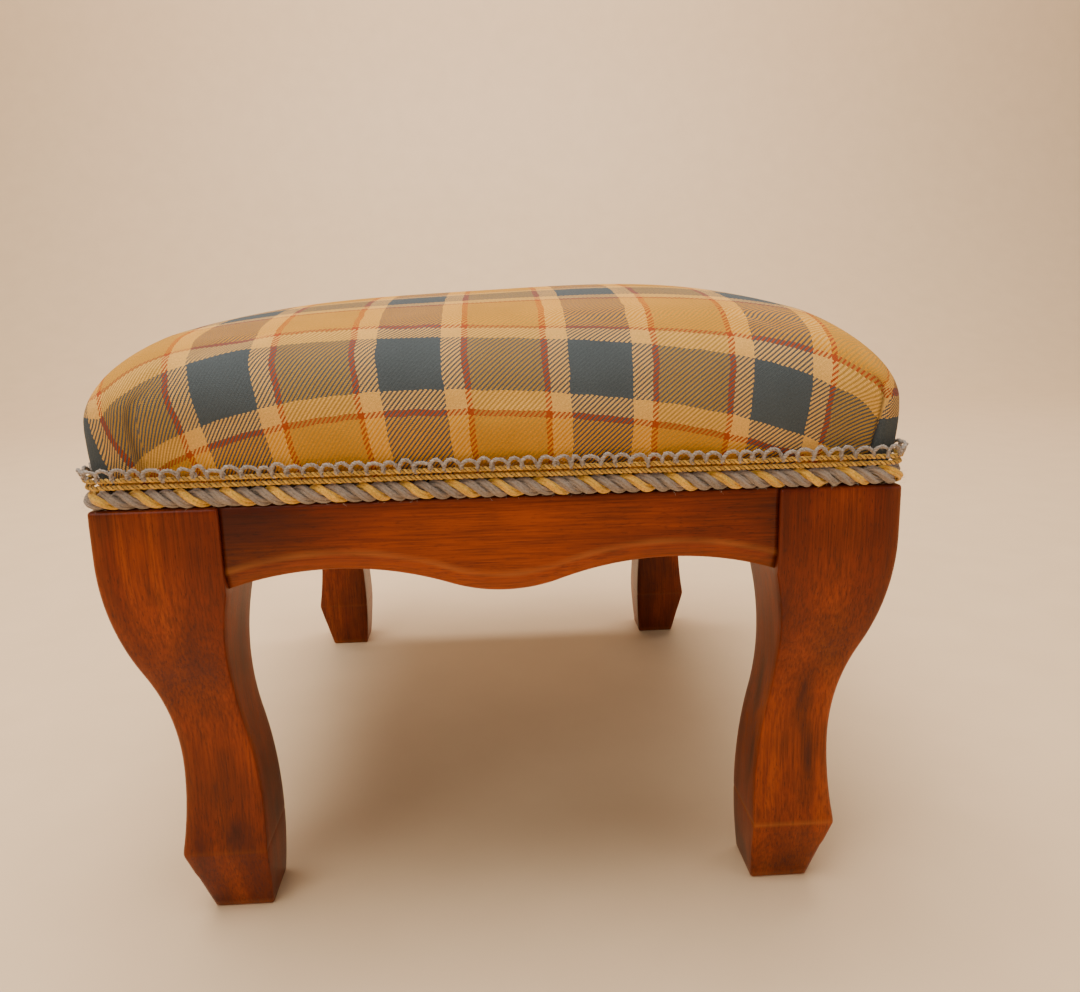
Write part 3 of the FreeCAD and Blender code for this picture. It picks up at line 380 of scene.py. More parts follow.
def lower_edge(x, half):
    """Height of a rail's lower edge at x, for a rail of that half length."""
    radius, peak, low, from_leg = 140.0, 162.0, 150.6, 42.6
    reach = half - from_leg
    drop = peak - low
    pendant = (reach ** 2 + drop ** 2) / (2 * drop) - radius
    bend = reach * pendant / (pendant + radius)
    x = np.abs(x)
    middle = low + pendant - np.sqrt(np.maximum(pendant ** 2 - x ** 2, 0))
    arch = peak - radius + np.sqrt(np.maximum(radius ** 2 - (x - reach) ** 2, 0))
    return np.where(x < bend, middle, arch)


BEVEL_RISE = 7.5


def rail_section(bottom):
    """Outline of a rail across its length, as (depth from its face, height)."""
    rise, depth, soft = BEVEL_RISE, 4.5, 2.6
    slope = math.hypot(rise, depth)
    upper = [(0.0, bottom + rise + soft), (0.06, bottom + rise + soft * 0.55), (0.30, bottom + rise),
             (0.30 + depth / slope * soft * 0.5, bottom + rise - rise / slope * soft * 0.75)]
    face = [(0.0, LEDGE - 0.8 - k * (LEDGE - 0.8 - bottom - rise - soft) / 5) for k in range(5)]
    bevel = [(depth - 0.9, bottom + 0.9), (depth - 0.1, bottom + 0.15), (depth + 1.0, bottom)]
    under = [(depth + 6, bottom), (RAIL_DEPTH - 6, bottom), (RAIL_DEPTH - 0.9, bottom),
             (RAIL_DEPTH - 0.25, bottom + 0.25), (RAIL_DEPTH, bottom + 0.9)]
    inside = [(RAIL_DEPTH, bottom + (EDGE_TOP - 0.8 - bottom) * k / 4) for k in range(1, 5)]
    step = LEDGE_WIDTH - RAIL_BACK
    top = [(RAIL_DEPTH - 0.8, EDGE_TOP), (step + 0.8, EDGE_TOP), (step, EDGE_TOP - 0.8), (step, LEDGE),
           (0.8, LEDGE), (0.2, LEDGE - 0.2)]
    return face + upper + bevel + under + inside + top


def make_rail(place, quarter_turns, material):
    half, rail_y = (HALF_X, HALF_Y) if quarter_turns % 2 == 0 else (HALF_Y, HALF_X)
    half -= LEG_BLOCK
    sections = []
    for place_x in np.linspace(-half, half, int(half) + 1):
        section = np.array(rail_section(float(lower_edge(np.array(place_x), half))))
        sections.append(np.column_stack([np.full(len(section), place_x), section]))
    points = np.array(sections)
    x, depth, height = (points[..., k].copy() for k in range(3))
    bottom = lower_edge(x, half)
    bevel_top = bottom + BEVEL_RISE
    # The bright line along the bevel's upper arris is a painted highlight; the fainter line along the lower
    # edge is painted highlight with some real wear.
    line = np.exp(-((height - bevel_top - 0.5) / 0.9) ** 2) * (depth < 3)
    wear = 0.42 * line * (0.6 + 0.4 * np.sin(x / 9 + 1) ** 2)
    wear += 0.25 * np.exp(-((height - bottom) / 1.0) ** 2) * (depth < 6)
    # Darker towards the apron's ends, most towards the left: real stain and painted shade, softer on the
    # bevel.
    left, right = np.clip((-x / half - 0.42) / 0.45, 0, 1), np.clip((x / half - 0.80) / 0.2, 0, 1)
    stain = (0.62 * left + 0.30 * right) * np.where(height < bevel_top, 0.55, 1.0)
    # Painted shade beside the legs' prouder faces at the ends, in a band just under the rope at the ledge,
    # and on the inner face.
    for spot in (0.55 * np.clip((np.abs(x) / half - 0.955) / 0.045, 0, 1),
                 0.40 * np.exp(-((height - LEDGE) / 2.5) ** 2), 0.55 * np.clip((depth - 19) / 3, 0, 1)):
        stain = np.maximum(stain, spot)
    # Painted highlight over the middle of the front face and along the bevel.
    glow = (0.85 * np.exp(-((x + 4) / (0.50 * half)) ** 2) + 0.35 * (height < bevel_top)) * (depth < 6)
    points[..., 1] += RAIL_BACK - rail_y
    stained_piece("rail_" + place, points, quarter_turns, material, stain=stain, wear=wear,
                  glow=np.clip(glow, 0, 1))


# Cushion form

CUSHION_X, CUSHION_Y = 162.0, 200.6
CORNER_RADIUS, CORNER_GROWTH = 13.5, 0.85
FULL_Z, SHOULDER_RISE, SHOULDER_RUN = 222.0, 27.0, 27.6
CROWN_RISE, CROWN_POWER = 21.9, 3.63
LEAN = 6.4


def cushion_height(x, y, inset):
    """Height of the cushion's top at (x, y), a distance inside its fullest outline."""
    fall = np.clip(1 - inset / SHOULDER_RUN, 0, 1)
    shoulder = SHOULDER_RISE * np.sqrt(1 - fall ** 2)
    ax, ay = x / CUSHION_X, y / CUSHION_Y
    crown = CROWN_RISE * (1 - np.abs(ax) ** CROWN_POWER) * (1 - np.abs(ay) ** CROWN_POWER)
    lean = LEAN * ax * (1 - ax ** 2) * (1 - fall)
    return FULL_Z + shoulder + crown + lean


def outline(half_x, half_y, radius, straight_x, straight_y, arc):
    """Points round a rounded rectangle, from the middle of its front left corner, counter-clockwise."""
    points = []
    for turn in range(4):
        a, b = (half_x, half_y) if turn % 2 == 0 else (half_y, half_x)
        straight = straight_x if turn % 2 == 0 else straight_y
        side = []
        for k in range(arc):
            angle = math.radians(225 + 45 * k / arc)
            side.append((-a + radius + radius * math.cos(angle), -b + radius + radius * math.sin(angle)))
        for k in range(straight + 1):
            side.append((-a + radius + (2 * a - 2 * radius) * k / straight, -b))
        for k in range(1, arc):
            angle = math.radians(270 + 45 * k / arc)
            side.append((a - radius + radius * math.cos(angle), -b + radius + radius * math.sin(angle)))
        side = np.array(side)
        points.append(turned(np.column_stack([side, np.zeros(len(side))]), turn)[:, :2])
    return np.concatenate(points)


def patch(edge, columns, rows):
    """Grid of points inside a closed outline with that many steps to its four sides."""
    sides = [edge[:columns + 1], edge[columns:columns + rows + 1],
             edge[columns + rows:2 * columns + rows + 1][::-1],
             np.concatenate([edge[2 * columns + rows:], edge[:1]])[::-1]]
    low, right, high, left = sides
    s = np.linspace(0, 1, columns + 1)[None, :, None]
    t = np.linspace(0, 1, rows + 1)[:, None, None]
    blend = (1 - t) * low[None] + t * high[None] + (1 - s) * left[:, None] + s * right[:, None]
    corners = ((1 - s) * (1 - t) * low[0] + s * (1 - t) * low[-1]
               + (1 - s) * t * high[0] + s * t * high[-1])
    return blend - corners


class Cushion:
    """Quads over the cushion: a grid on the crown, and rings over the shoulder and down the side."""

    def __init__(self, shrink, step, side):
        arc = 6 if step < 6 else 4
        straight_x, straight_y = int(188 / step), int(262 / step)
        self.columns = straight_x + 2 * arc
        self.rows = straight_y + 2 * arc

        def crown_ring(inset):
            return outline(CUSHION_X - shrink - inset, CUSHION_Y - shrink - inset,
                           CORNER_RADIUS - shrink + CORNER_GROWTH * inset, straight_x, straight_y, arc)

        run = SHOULDER_RUN - shrink
        grid = patch(crown_ring(run + 4.0), self.columns, self.rows)
        grid_z = cushion_height(grid[..., 0], grid[..., 1], np.full(grid.shape[:2], 99.0)) - shrink
        rings = []
        for angle in np.radians(np.linspace(90, 0, max(6, int(44 / step)))):
            turn = 1 - math.cos(angle)
            ring = crown_ring(run * turn)
            height = cushion_height(ring[:, 0], ring[:, 1], SHOULDER_RUN * turn) - shrink
            rings.append(np.column_stack([ring, height]))
        for overhang, radius, z in side:
            ring = outline(HALF_X + overhang - shrink, HALF_Y + overhang - shrink - 0.9,
                           max(radius - shrink, 0.6), straight_x, straight_y, arc)
            rings.append(np.column_stack([ring, np.full(len(ring), z)]))
        self.ring_rows, self.ring_count = len(rings), len(rings[0])
        self.grid_count = grid_z.size
        self.points = np.concatenate([np.column_stack([grid.reshape(-1, 2), grid_z.ravel()]), *rings])
        self.faces = self.make_faces()

    def edge_numbers(self):
        """Numbers of the grid's points round its edge, in the order of a ring."""
        numbers = np.arange(self.grid_count).reshape(self.rows + 1, self.columns + 1)
        return np.concatenate([numbers[0, :-1], numbers[:-1, -1], numbers[-1, :0:-1], numbers[:0:-1, 0]])

    def make_faces(self):
        faces = ring_faces(self.rows + 1, self.columns + 1, close_columns=False)
        numbers = self.grid_count + np.arange(self.ring_rows * self.ring_count).reshape(self.ring_rows, -1)
        return faces + joined_rings(np.vstack([self.edge_numbers(), numbers]))


def side_rows(steps):
    """Rows (overhang, corner radius, height) of the cover's side, from its fullest line downwards."""
    rows = []
    roll_z = EDGE_TOP + 2.5
    for k in range(1, steps + 1):
        share = 1 - k / steps
        swell = 1 - (1 - share) ** 2
        rows.append((-1.6 + 3.4 * swell, 8.8 + 4.2 * swell, roll_z + (FULL_Z - roll_z) * share))
    tucked = -(LEDGE_WIDTH - 0.2 - 1.1)
    rows += [(-3.8, 6.0, EDGE_TOP + 0.7), (tucked + 0.6, 2.4, EDGE_TOP + 0.1)]
    return rows + [(tucked, 1.3, z) for z in (EDGE_TOP - 1.2, EDGE_TOP - 3.5, LEDGE + 0.6)]


# Cloth coordinates: u runs across the stool and v from back to front, in millimetres of cloth

SHOULDER_LEVEL, PLEAT_TOP = 246.0, 238.0
# A level of the side at which the creases are looked up, and how far columns are blended at a fold
FOLD_LEVEL, BLEND = 215.0, 11
# The crown's cloth is measured along lines no further out than this; its checks widen towards the sides
CROWN_LINE, SIDE_LINE, WIDENING = 134.0, 150.0, 1.7e-6
# Creases at the corners, as (height, distance from the middle) down the front or the rear face
CREASES = {
    "front_left": ((238, 143.0), (222, 140.5), (211, 138.5), (198, 136.5)),
    "front_right": ((238, 152.5), (225, 150.7), (210, 147.5), (198, 145.5)),
    "rear_right": ((238, 146.0), (222, 143.5), (211, 141.5), (198, 139.0)),
    "rear_left": ((238, 149.0), (222, 147.0), (211, 144.5), (198, 142.0)),
}


# Front corners: which way along the ring the tuck's far side lies, cloth hidden in the tuck, and its depth
TUCKS = {"front_left": (-1, 1.0, 0.45), "front_right": (1, 13.0, 0.75)}
# Columns beside a fold, and how far each is lifted; the nearest one is laid this far over the fold
FOLD_LIFTS = ((1, 1.05), (2, 0.95), (3, 0.55), (4, 0.2), (0, -0.75), (-1, -0.35))
FOLD_LAP = 0.5


def smooth(value):
    value = np.clip(value, 0, 1)
    return value * value * (3 - 2 * value)


def inset_at(x, y):
    """Distance inside the fullest outline, whose corners grow rounder inwards."""
    inset = np.zeros(np.broadcast(x, y).shape)
    for _ in range(40):
        radius = CORNER_RADIUS + CORNER_GROWTH * inset
        past_x = np.abs(x) - (CUSHION_X - inset - radius)
        past_y = np.abs(y) - (CUSHION_Y - inset - radius)
        reach = np.hypot(np.maximum(past_x, 0), np.maximum(past_y, 0))
        reach += np.minimum(np.maximum(past_x, past_y), 0)
        inset = inset - (reach - radius) * 0.7
    return inset


class Paths:
    """Cloth used from the middle of the cushion outwards, along lines at fixed distances from the middle."""

    def __init__(self, fixed, reach, point):
        self.fixed = fixed
        self.places = reach * (1 - (1 - np.linspace(0, 1, 1200)) ** 2)
        x, y = point(*np.meshgrid(fixed, self.places, indexing="ij"))
        inset = inset_at(x, y)
        self.heights = cushion_height(x, y, np.maximum(inset, 0))
        steps = np.hypot(np.diff(self.places)[None], np.diff(self.heights, axis=1))
        self.used = np.concatenate([np.zeros((len(fixed), 1)), np.cumsum(steps, axis=1)], axis=1)
        self.last = [int(np.nonzero(row > -0.2)[0][-1]) for row in inset]
        self.outer = int(np.searchsorted(self.places, reach * 0.55))

    def used_at(self, fixed, place, z):
        """Cloth used up to points: by place on the crown, and by height where the surface turns steep."""
        share = np.clip((z - FULL_Z - 5) / 8, 0, 1)
        on_lines = []
        for heights, used, last in zip(self.heights, self.used, self.last):
            steep = slice(self.outer, last + 1)
            by_height = np.interp(-z, -heights[steep], used[steep]) + np.maximum(heights[last] - z, 0)
            on_lines.append(by_height + share * (np.interp(place, self.places, used) - by_height))
        at = np.interp(fixed, self.fixed, np.arange(len(self.fixed)))
        low = np.minimum(at.astype(int), len(self.fixed) - 2)[None]
        first, second = (np.take_along_axis(np.array(on_lines), low + k, 0)[0] for k in (0, 1))
        return first + (second - first) * (at - low[0])


def drape_shift(x, v):
    """How far the checks have slipped down the front towards its two ends."""
    s = x / HALF_X
    upper = 18.0 * s + 12.12 * s ** 2 - 18.15 * s ** 3 + 9.68 * s ** 4
    lower = 12.75 * s + 20.9 * s ** 2 - 9.08 * s ** 3 + 10.82 * s ** 4
    share = np.clip((v - 187) / 24, 0, 1)
    return smooth((v - 60) / 127) * (upper + (lower - upper) * share) + 2.0 * np.exp(-((v - 180) / 5) ** 2)


def across_front(x, z):
    """Cloth across the front face, which is drawn in and to one side further down."""
    drop = np.clip(SHOULDER_LEVEL - z, 0, None)
    return x * (1 + 0.0022 * drop) + WIDENING * x ** 3 - 0.065 * drop


class ClothMap:
    """Cloth coordinates over a cushion form, with a jump at the fold of each corner."""

    def __init__(self, form):
        self.form = form
        self.count = form.ring_count
        rings = form.points[form.grid_count:].reshape(-1, self.count, 3)
        x, y, self.z = rings[..., 0], rings[..., 1], rings[..., 2]
        self.along_y = Paths(np.linspace(-160, 160, 41), CUSHION_Y, lambda fixed, place: (fixed, -place))
        self.grid_uv = self.crown_uv(*form.points[:form.grid_count, :2].T)
        low = smooth((SHOULDER_LEVEL - self.z) / 24)
        self.sides = []
        for side, away in enumerate(self.distances(rings)):
            sign = 1 if side < 2 else -1
            if side % 2 == 0:
                line = np.clip(x, -SIDE_LINE, SIDE_LINE)
                used = self.along_y.used_at(line, np.abs(y), self.z)
                if side == 0:
                    used = used - drape_shift(line, used)
                uv = across_front(x + low * (sign * away - x), self.z), sign * used
            else:
                slack, past = (15.5, 1.0) if side == 1 else (12.0, 4.6)
                lines = Paths(np.linspace(-199, 199, 51), CUSHION_X,
                              lambda fixed, place: (sign * place, fixed))
                used = lines.used_at(y, np.abs(x), self.z) - slack * smooth((250 - self.z) / 28)
                used += WIDENING * np.minimum(np.abs(x), CROWN_LINE) ** 3 - 1.5
                top = self.crown_uv(x, y)[..., 1]
                along = -sign * away + np.copysign(past, -sign * away)
                along -= drape_shift(np.clip(x, -CROWN_LINE, CROWN_LINE), along)
                uv = sign * used, top + low * (along - top)
            self.sides.append(np.stack(uv, -1))
        level = rings[np.argmin(np.abs(rings[:, 0, 2] - FOLD_LEVEL))]
        self.creases, self.folds = [], []
        for corner, middle in zip(CREASES, (0, form.columns, form.columns + form.rows, -form.rows)):
            self.creases.append(self.crease_column(corner, level, middle))
            self.folds.append(self.side_column(corner, level) if corner in TUCKS else self.creases[-1])

    def crown_uv(self, x, y):
        """Where the cloth lies on the crown."""
        used = self.along_y.used_at(np.clip(x, -CROWN_LINE, CROWN_LINE), np.abs(y), np.inf)
        return np.stack([x + WIDENING * x ** 3, np.where(y > 0, -used, used - drape_shift(x, used))], -1)

    def distances(self, rings):
        """Distances along the rings from the middle of each side, in turn."""
        step = np.linalg.norm(np.roll(rings, -1, axis=1) - rings, axis=2)
        place = np.concatenate([np.zeros((len(rings), 1)), np.cumsum(step, axis=1)], axis=1)
        total = place[:, -1:]
        columns, rows = self.form.columns, self.form.rows
        for middle in (columns / 2, columns + rows / 2, 1.5 * columns + rows, 2 * columns + 1.5 * rows):
            centre = np.array([np.interp(middle, np.arange(self.count + 1), row) for row in place])[:, None]
            yield (place[:, :-1] - centre + total / 2) % total - total / 2

    def crease_column(self, corner, level, middle):
        """The column on the front or rear face nearest to a corner's crease."""
        near = [(middle + k) % self.count for k in range(-14, 15)]
        near = [j for j in near if abs(level[j, 1]) > CUSHION_Y - 6]
        return min(near, key=lambda j: abs(abs(level[j, 0]) - CREASES[corner][1][1]))

    def side_column(self, corner, level):
        """The column on a side face where the front cloth ends in a fold."""
        side = CUSHION_X if corner == "front_right" else -CUSHION_X
        return int(np.argmin(np.hypot(level[:, 0] - side, level[:, 1] + CUSHION_Y - 36)))

    def apart(self, column, other):
        """Columns from one place on the ring to another, the short way round."""
        return (column - other + self.count / 2) % self.count - self.count / 2

    def seen_from(self, shift):
        """Coordinates of the rings' points, as the face that many columns further on sees them."""
        columns = np.arange(self.count)
        faces = columns + shift
        uv = np.empty_like(self.sides[0])
        for side, fold in enumerate(self.folds):
            here = (columns - fold) % self.count < (self.folds[(side + 1) % 4] - fold) % self.count
            uv[:, here] = self.sides[side][:, here]
        sharp = smooth((PLEAT_TOP - self.z) / 7)
        for side, fold in enumerate(self.folds):
            offset = self.apart(columns, fold)
            near = np.abs(offset) <= BLEND
            soft = smooth(offset / (2 * BLEND) + 0.5)
            share = (soft + sharp * ((self.apart(faces, fold) >= 0) - soft))[..., None]
            uv[:, near] = (self.sides[side - 1] * (1 - share) + self.sides[side] * share)[:, near]
        sharp = smooth((PLEAT_TOP - self.z) / 12)
        for crease, fold, (outer, hidden, _) in zip(self.creases, self.folds, TUCKS.values()):
            past = outer * self.apart(faces, crease)
            uv[..., 0] += outer * hidden * sharp * ((past >= 0) & (past < outer * self.apart(fold, crease)))
        return uv

    def write(self, piece):
        form = self.form
        grid = self.grid_uv[np.array(form.faces[:form.rows * form.columns])]
        edge = self.grid_uv[form.edge_numbers()][None]
        here = np.concatenate([edge, self.seen_from(0)])
        ahead = np.roll(np.concatenate([edge, self.seen_from(-1)]), -1, axis=1)
        quads = np.stack([here[:-1], here[1:], ahead[1:], ahead[:-1]], axis=2)
        values = np.concatenate([grid.reshape(-1, 2), quads.reshape(-1, 2)]).astype(np.float32)
        piece.data.uv_layers.new(name="cloth").data.foreach_set("uv", values.ravel())


def fold_pleats(form, cloth_map):
    """Draws the columns beside each crease together, one lifted and the other sunk, and returns painted shade
    along each fold.
    """
    count = form.ring_count
    rings = form.points[form.grid_count:].reshape(-1, count, 3)
    dark = np.zeros(rings.shape[:2])
    for number, (corner, path) in enumerate(CREASES.items()):
        crease, fold = cloth_map.creases[number], cloth_map.folds[number]
        outer = -1 if number % 2 == 0 else 1
        z = rings[:, crease, 2]
        deep = smooth((PLEAT_TOP + 2 - z) / 18) * (z >= EDGE_TOP)
        small = deep * (TUCKS[corner][2] if corner in TUCKS else 1.0)
        sign_x, sign_y = np.sign(rings[:, crease, 0]), np.sign(rings[:, crease, 1])
        heights, places = zip(*path[::-1])
        move = sign_x * (np.interp(z, heights, places) - np.abs(rings[:, crease, 0])) * deep
        for k in range(-5, 6):
            rings[:, (crease + k) % count, 0] += move * (1 - abs(k) / 6)
        beside = (crease + outer) % count
        rings[:, beside, 0] += (rings[:, crease, 0] + sign_x * FOLD_LAP - rings[:, beside, 0]) * small
        for k, lift in FOLD_LIFTS:
            rings[:, (crease + k * outer) % count, 1] += sign_y * lift * small
        # Painted shade, darkest in the crease itself.
        dark[:, crease], dark[:, beside] = 0.85 * small, 0.25 * small
        if fold == crease:
            continue
        tangent = rings[:, (fold + 1) % count, :2] - rings[:, fold - 1, :2]
        tangent /= np.linalg.norm(tangent, axis=1, keepdims=True)
        normal = np.column_stack([tangent[:, 1], -tangent[:, 0]])
        beside = (fold - outer) % count
        lapped = rings[:, fold, :2] - outer * FOLD_LAP * tangent
        rings[:, beside, :2] += (lapped - rings[:, beside, :2]) * deep[:, None]
        for k, lift in FOLD_LIFTS:
            rings[:, (fold - k * outer) % count, :2] += normal * lift * deep[:, None]
        dark[:, fold], dark[:, beside] = 0.85 * deep, 0.25 * deep
    return np.concatenate([np.zeros(form.grid_count), dark.ravel()])


# Cushion piece: the cover is simulated as cloth that pressure pushes out from inside

CLOTH_SETTINGS = {
    "quality": 5, "mass": 0.35, "tension_stiffness": 25, "compression_stiffness": 25, "shear_stiffness": 6,
    "bending_stiffness": 1.5, "vertex_group_mass": "held", "use_pressure": True, "uniform_pressure_force": 4,
}


def point_places(mesh):
    places = np.empty(len(mesh.vertices) * 3)
    mesh.vertices.foreach_get("co", places)
    return places.reshape(-1, 3)


def simulate(piece, held, cap):
    """Blows the cover up a little with its lower edge held, and keeps each point within cap of its start."""
    start = point_places(piece.data)
    group = piece.vertex_groups.new(name="held")
    group.add([int(i) for i in np.nonzero(held)[0]], 1.0, "REPLACE")
    cloth = piece.modifiers.new("cloth", "CLOTH")
    for key, value in CLOTH_SETTINGS.items():
        setattr(cloth.settings, key, value)
    cloth.settings.effector_weights.gravity = 0
    cloth.collision_settings.use_collision = False
    cloth.point_cache.frame_end = 20
    scene = bpy.context.scene
    for frame_number in range(1, 21):
        scene.frame_set(frame_number)
    travel = point_places(piece.evaluated_get(bpy.context.evaluated_depsgraph_get()).data) - start
    piece.modifiers.remove(cloth)
    scene.frame_set(1)
    length = np.linalg.norm(travel, axis=1, keepdims=True)
    travel *= np.minimum(1, cap * MM / np.maximum(length, 1e-9))
    piece.data.vertices.foreach_set("co", (start + travel).ravel())
    piece.data.update()


def make_cover():
    form = Cushion(0.0, 2.0, side_rows(12))
    cloth_map = ClothMap(form)
    dark = fold_pleats(form, cloth_map)
    cover = add_mesh("seat_cover_cloth", form.points, form.faces)
    cloth_map.write(cover)
    # The crease attribute holds painted shade along the folds.
    set_attribute(cover, "crease", dark)
    simulate(cover, form.points[:, 2] < EDGE_TOP + 2, 1.0)
    return cover


BLUE, CREAM, RUST = (0.072, 0.084, 0.086), (0.82, 0.42, 0.085), (0.42, 0.060, 0.004)
WEFT_GOLD, WARP_GOLD = (0.70, 0.275, 0.001), (0.48, 0.240, 0.030)
# One repeat's length, where a blue stripe starts, and the stripes as (length from there, colour)
SETT = 75.5
WARP_START, WEFT_START = 27.5, 186.8
WARP = ((0.0, BLUE), (25.3, CREAM), (33.5, RUST), (35.7, WARP_GOLD), (65.1, RUST), (67.3, CREAM))
WEFT = ((0.0, BLUE), (24.2, CREAM), (32.2, RUST), (34.4, WEFT_GOLD), (65.3, RUST), (67.5, CREAM))
TWILL_THREAD = 0.50


def thread_colour(n, place, start, stripes):
    """Colour of the thread at a place, the same across the thread's whole width."""
    number = n.math("FLOOR", n.math("DIVIDE", place, TWILL_THREAD))
    middle = n.math("MULTIPLY_ADD", number, TWILL_THREAD, TWILL_THREAD / 2 - start)
    share = n.math("DIVIDE", n.math("FLOORED_MODULO", middle, SETT), SETT)
    return n.ramp(share, [(begin / SETT, colour) for begin, colour in stripes], "CONSTANT")


def plaid_material():
    """Wool twill, two threads over and two under, in a plaid of four colours."""
    n = Nodes("plaid_twill")
    cloth = n.cloth()
    u, v = n.swayed(cloth, n.noise(cloth, scale=0.09, dimensions="2D"), 1.6)
    over, bulge = n.woven(u, v, TWILL_THREAD, 4.0, 1.5)
    wool = n.noise(cloth, scale=1.3, detail=3, roughness=0.7)
    hue = n.noise(cloth, scale=0.035, detail=2)
    colour = n.mix(over, thread_colour(n, v, WEFT_START, WEFT), thread_colour(n, u, WARP_START, WARP))
    colour = n.shade(colour, wool, ((0.3, 0.80), (0.7, 1.18)))
    colour = n.shade(colour, hue, ((0.3, 0.92), (0.7, 1.06)))
    # Painted shade between the threads, where each one dips under the next.
    colour = n.shade(colour, bulge, ((0.0, 0.55), (0.6, 1.0)), 0.75)
    # Painted shade along the corner folds.
    colour = n.mix(n.attribute("crease"), colour, (0.020, 0.014, 0.012))
    rib = n.math("SINE", n.math("MULTIPLY", n.math("ADD", u, v), math.pi / (2 * TWILL_THREAD)))
    height = n.math("MULTIPLY_ADD", n.math("ABSOLUTE", rib), 0.5, bulge)
    normal = n.bump(n.math("MULTIPLY_ADD", wool, 0.6, height), 0.55, 0.22)
    return n.finish(colour, 0.82, normal, Sheen_Weight=0.03, Sheen_Roughness=0.5, Specular_IOR_Level=0.22)


cover = finished(make_cover(), plaid_material(), "plaid_cloth", "seat_cover")


# Layers under the cover, and the cloth and webbing under the seat

def set_cloth_map(piece, u, v):
    """Cloth coordinates of a piece's points, in millimetres."""
    layer = piece.data.uv_layers.new(name="cloth")
    numbers = np.empty(len(piece.data.loops), np.int32)
    piece.data.loops.foreach_get("vertex_index", numbers)
    values = np.stack([np.ravel(u)[numbers], np.ravel(v)[numbers]], -1).astype(np.float32)
    layer.data.foreach_set("uv", values.ravel())


def weave_material(name, light, dark, thread, roughness, stripe=None):
    """Plain weave from the cloth's own map, uneven in width and tone; stripe is (from, to, colour)."""
    n = Nodes(name)
    cloth = n.cloth()
    slub = n.noise(cloth, scale=0.5, detail=4, roughness=0.6)
    u, v = n.swayed(cloth, slub, thread * 0.5)
    bulge = n.woven(u, v, thread, 2.0, 0.51)[1]
    colour = n.mix(n.ramp(slub, ((0.35, 0.0), (0.65, 1.0))), dark, light)
    if stripe:
        begin, end, tone = stripe
        split = n.add("ShaderNodeSeparateXYZ")
        n.feed(split.inputs[0], cloth)
        across = n.math("ABSOLUTE", split.outputs[0])
        inside = n.math("MULTIPLY", n.math("GREATER_THAN", across, begin), n.math("LESS_THAN", across, end))
        colour = n.mix(n.math("MULTIPLY", inside, 0.8), colour, tone)
    # Painted shade between the threads.
    colour = n.shade(colour, bulge, ((0.0, 0.45), (0.7, 1.0)), 0.8)
    normal = n.bump(bulge, 0.7, thread * 0.35)
    return n.finish(colour, roughness, normal, Sheen_Weight=0.15, Sheen_Roughness=0.6)


def foam_material():
    n = Nodes("upholstery_foam")
    cells = n.add("ShaderNodeTexVoronoi", feature="SMOOTH_F1")
    n.feed(cells.inputs["Vector"], n.position())
    n.feed(cells.inputs["Scale"], 0.9)
    tone = n.noise(n.position(), scale=0.02, detail=3)
    colour = n.ramp(tone, ((0.3, (0.80, 0.66, 0.36)), (0.7, (0.88, 0.76, 0.48))))
    # The pores are painted darker: painted shade inside them.
    pores = n.ramp(cells.outputs["Distance"], ((0.15, 0.55), (0.5, 1.0)))
    return n.finish(n.mix(0.7, colour, pores, blend="MULTIPLY"), 0.95, n.bump(pores, 0.6, 0.3))


def wadding_material():
    n = Nodes("cotton_wadding")
    fleece = n.noise(n.position(), scale=0.25, detail=6, roughness=0.7, distortion=1.2)
    fibre = n.noise(n.position((1, 1, 0.2)), scale=2.0, detail=3, roughness=0.7)
    colour = n.ramp(fleece, ((0.3, (0.70, 0.67, 0.60)), (0.7, (0.88, 0.86, 0.80))))
    height = n.math("MULTIPLY_ADD", fibre, 0.4, fleece)
    return n.finish(colour, 0.95, n.bump(height, 0.8, 0.9), Sheen_Weight=0.4)


LAYER_BOTTOM = 202.2


def make_layer(name, shrink, material, slot, node, lumps):
    """A closed layer of the cushion, a distance inside the cover."""
    form = Cushion(shrink, 5.0, [row for row in side_rows(8) if row[2] > EDGE_TOP + 6])
    points, count = form.points, form.ring_count
    wave = np.sin(points[:, 0] / 9.3 + 1) * np.sin(points[:, 1] / 11.7) + np.sin(points[:, 0] / 23 + 2.1)
    points[:, 2] += np.where(points[:, 2] > FULL_Z + 12, lumps * (wave - 2), 0)
    lower = points[-count:] * (1, 1, 0) + (0, 0, LAYER_BOTTOM)
    rings = len(points) - count + np.arange(3 * count).reshape(3, -1)
    faces = form.faces + joined_rings(rings) + [tuple(rings[2, ::-1].tolist())]
    piece = add_mesh(name, np.concatenate([points, lower, lower * (0.9, 0.9, 1)]), faces)
    finished(piece, material, slot, node)


def grid_sheet(xs, ys, height, keep=lambda x, y: True):
    """Points and quads over xs and ys; height gives the level, and keep says which quads stay."""
    x, y = np.meshgrid(xs, ys)
    points = np.stack([x, y, height(x, y)], -1).reshape(-1, 3)
    faces = [face for face in ring_faces(len(ys), len(xs), close_columns=False)
             if keep(*points[list(face), :2].mean(axis=0))]
    used = sorted({i for face in faces for i in face})
    renumber = {old: new for new, old in enumerate(used)}
    return points[used], [tuple(renumber[i] for i in face) for face in faces]


WEB_THICK, WEB_LOW, WEB_HIGH = 1.3, 197.85, 199.35
LONG_PLACES, CROSS_PLACES = (-80, 0, 80), (-120, -40, 40, 120)
JUTE = weave_material("jute_webbing", (0.52, 0.38, 0.21), (0.36, 0.25, 0.13), 1.1, 0.9,
                      stripe=(17.0, 20.0, (0.20, 0.06, 0.04)))


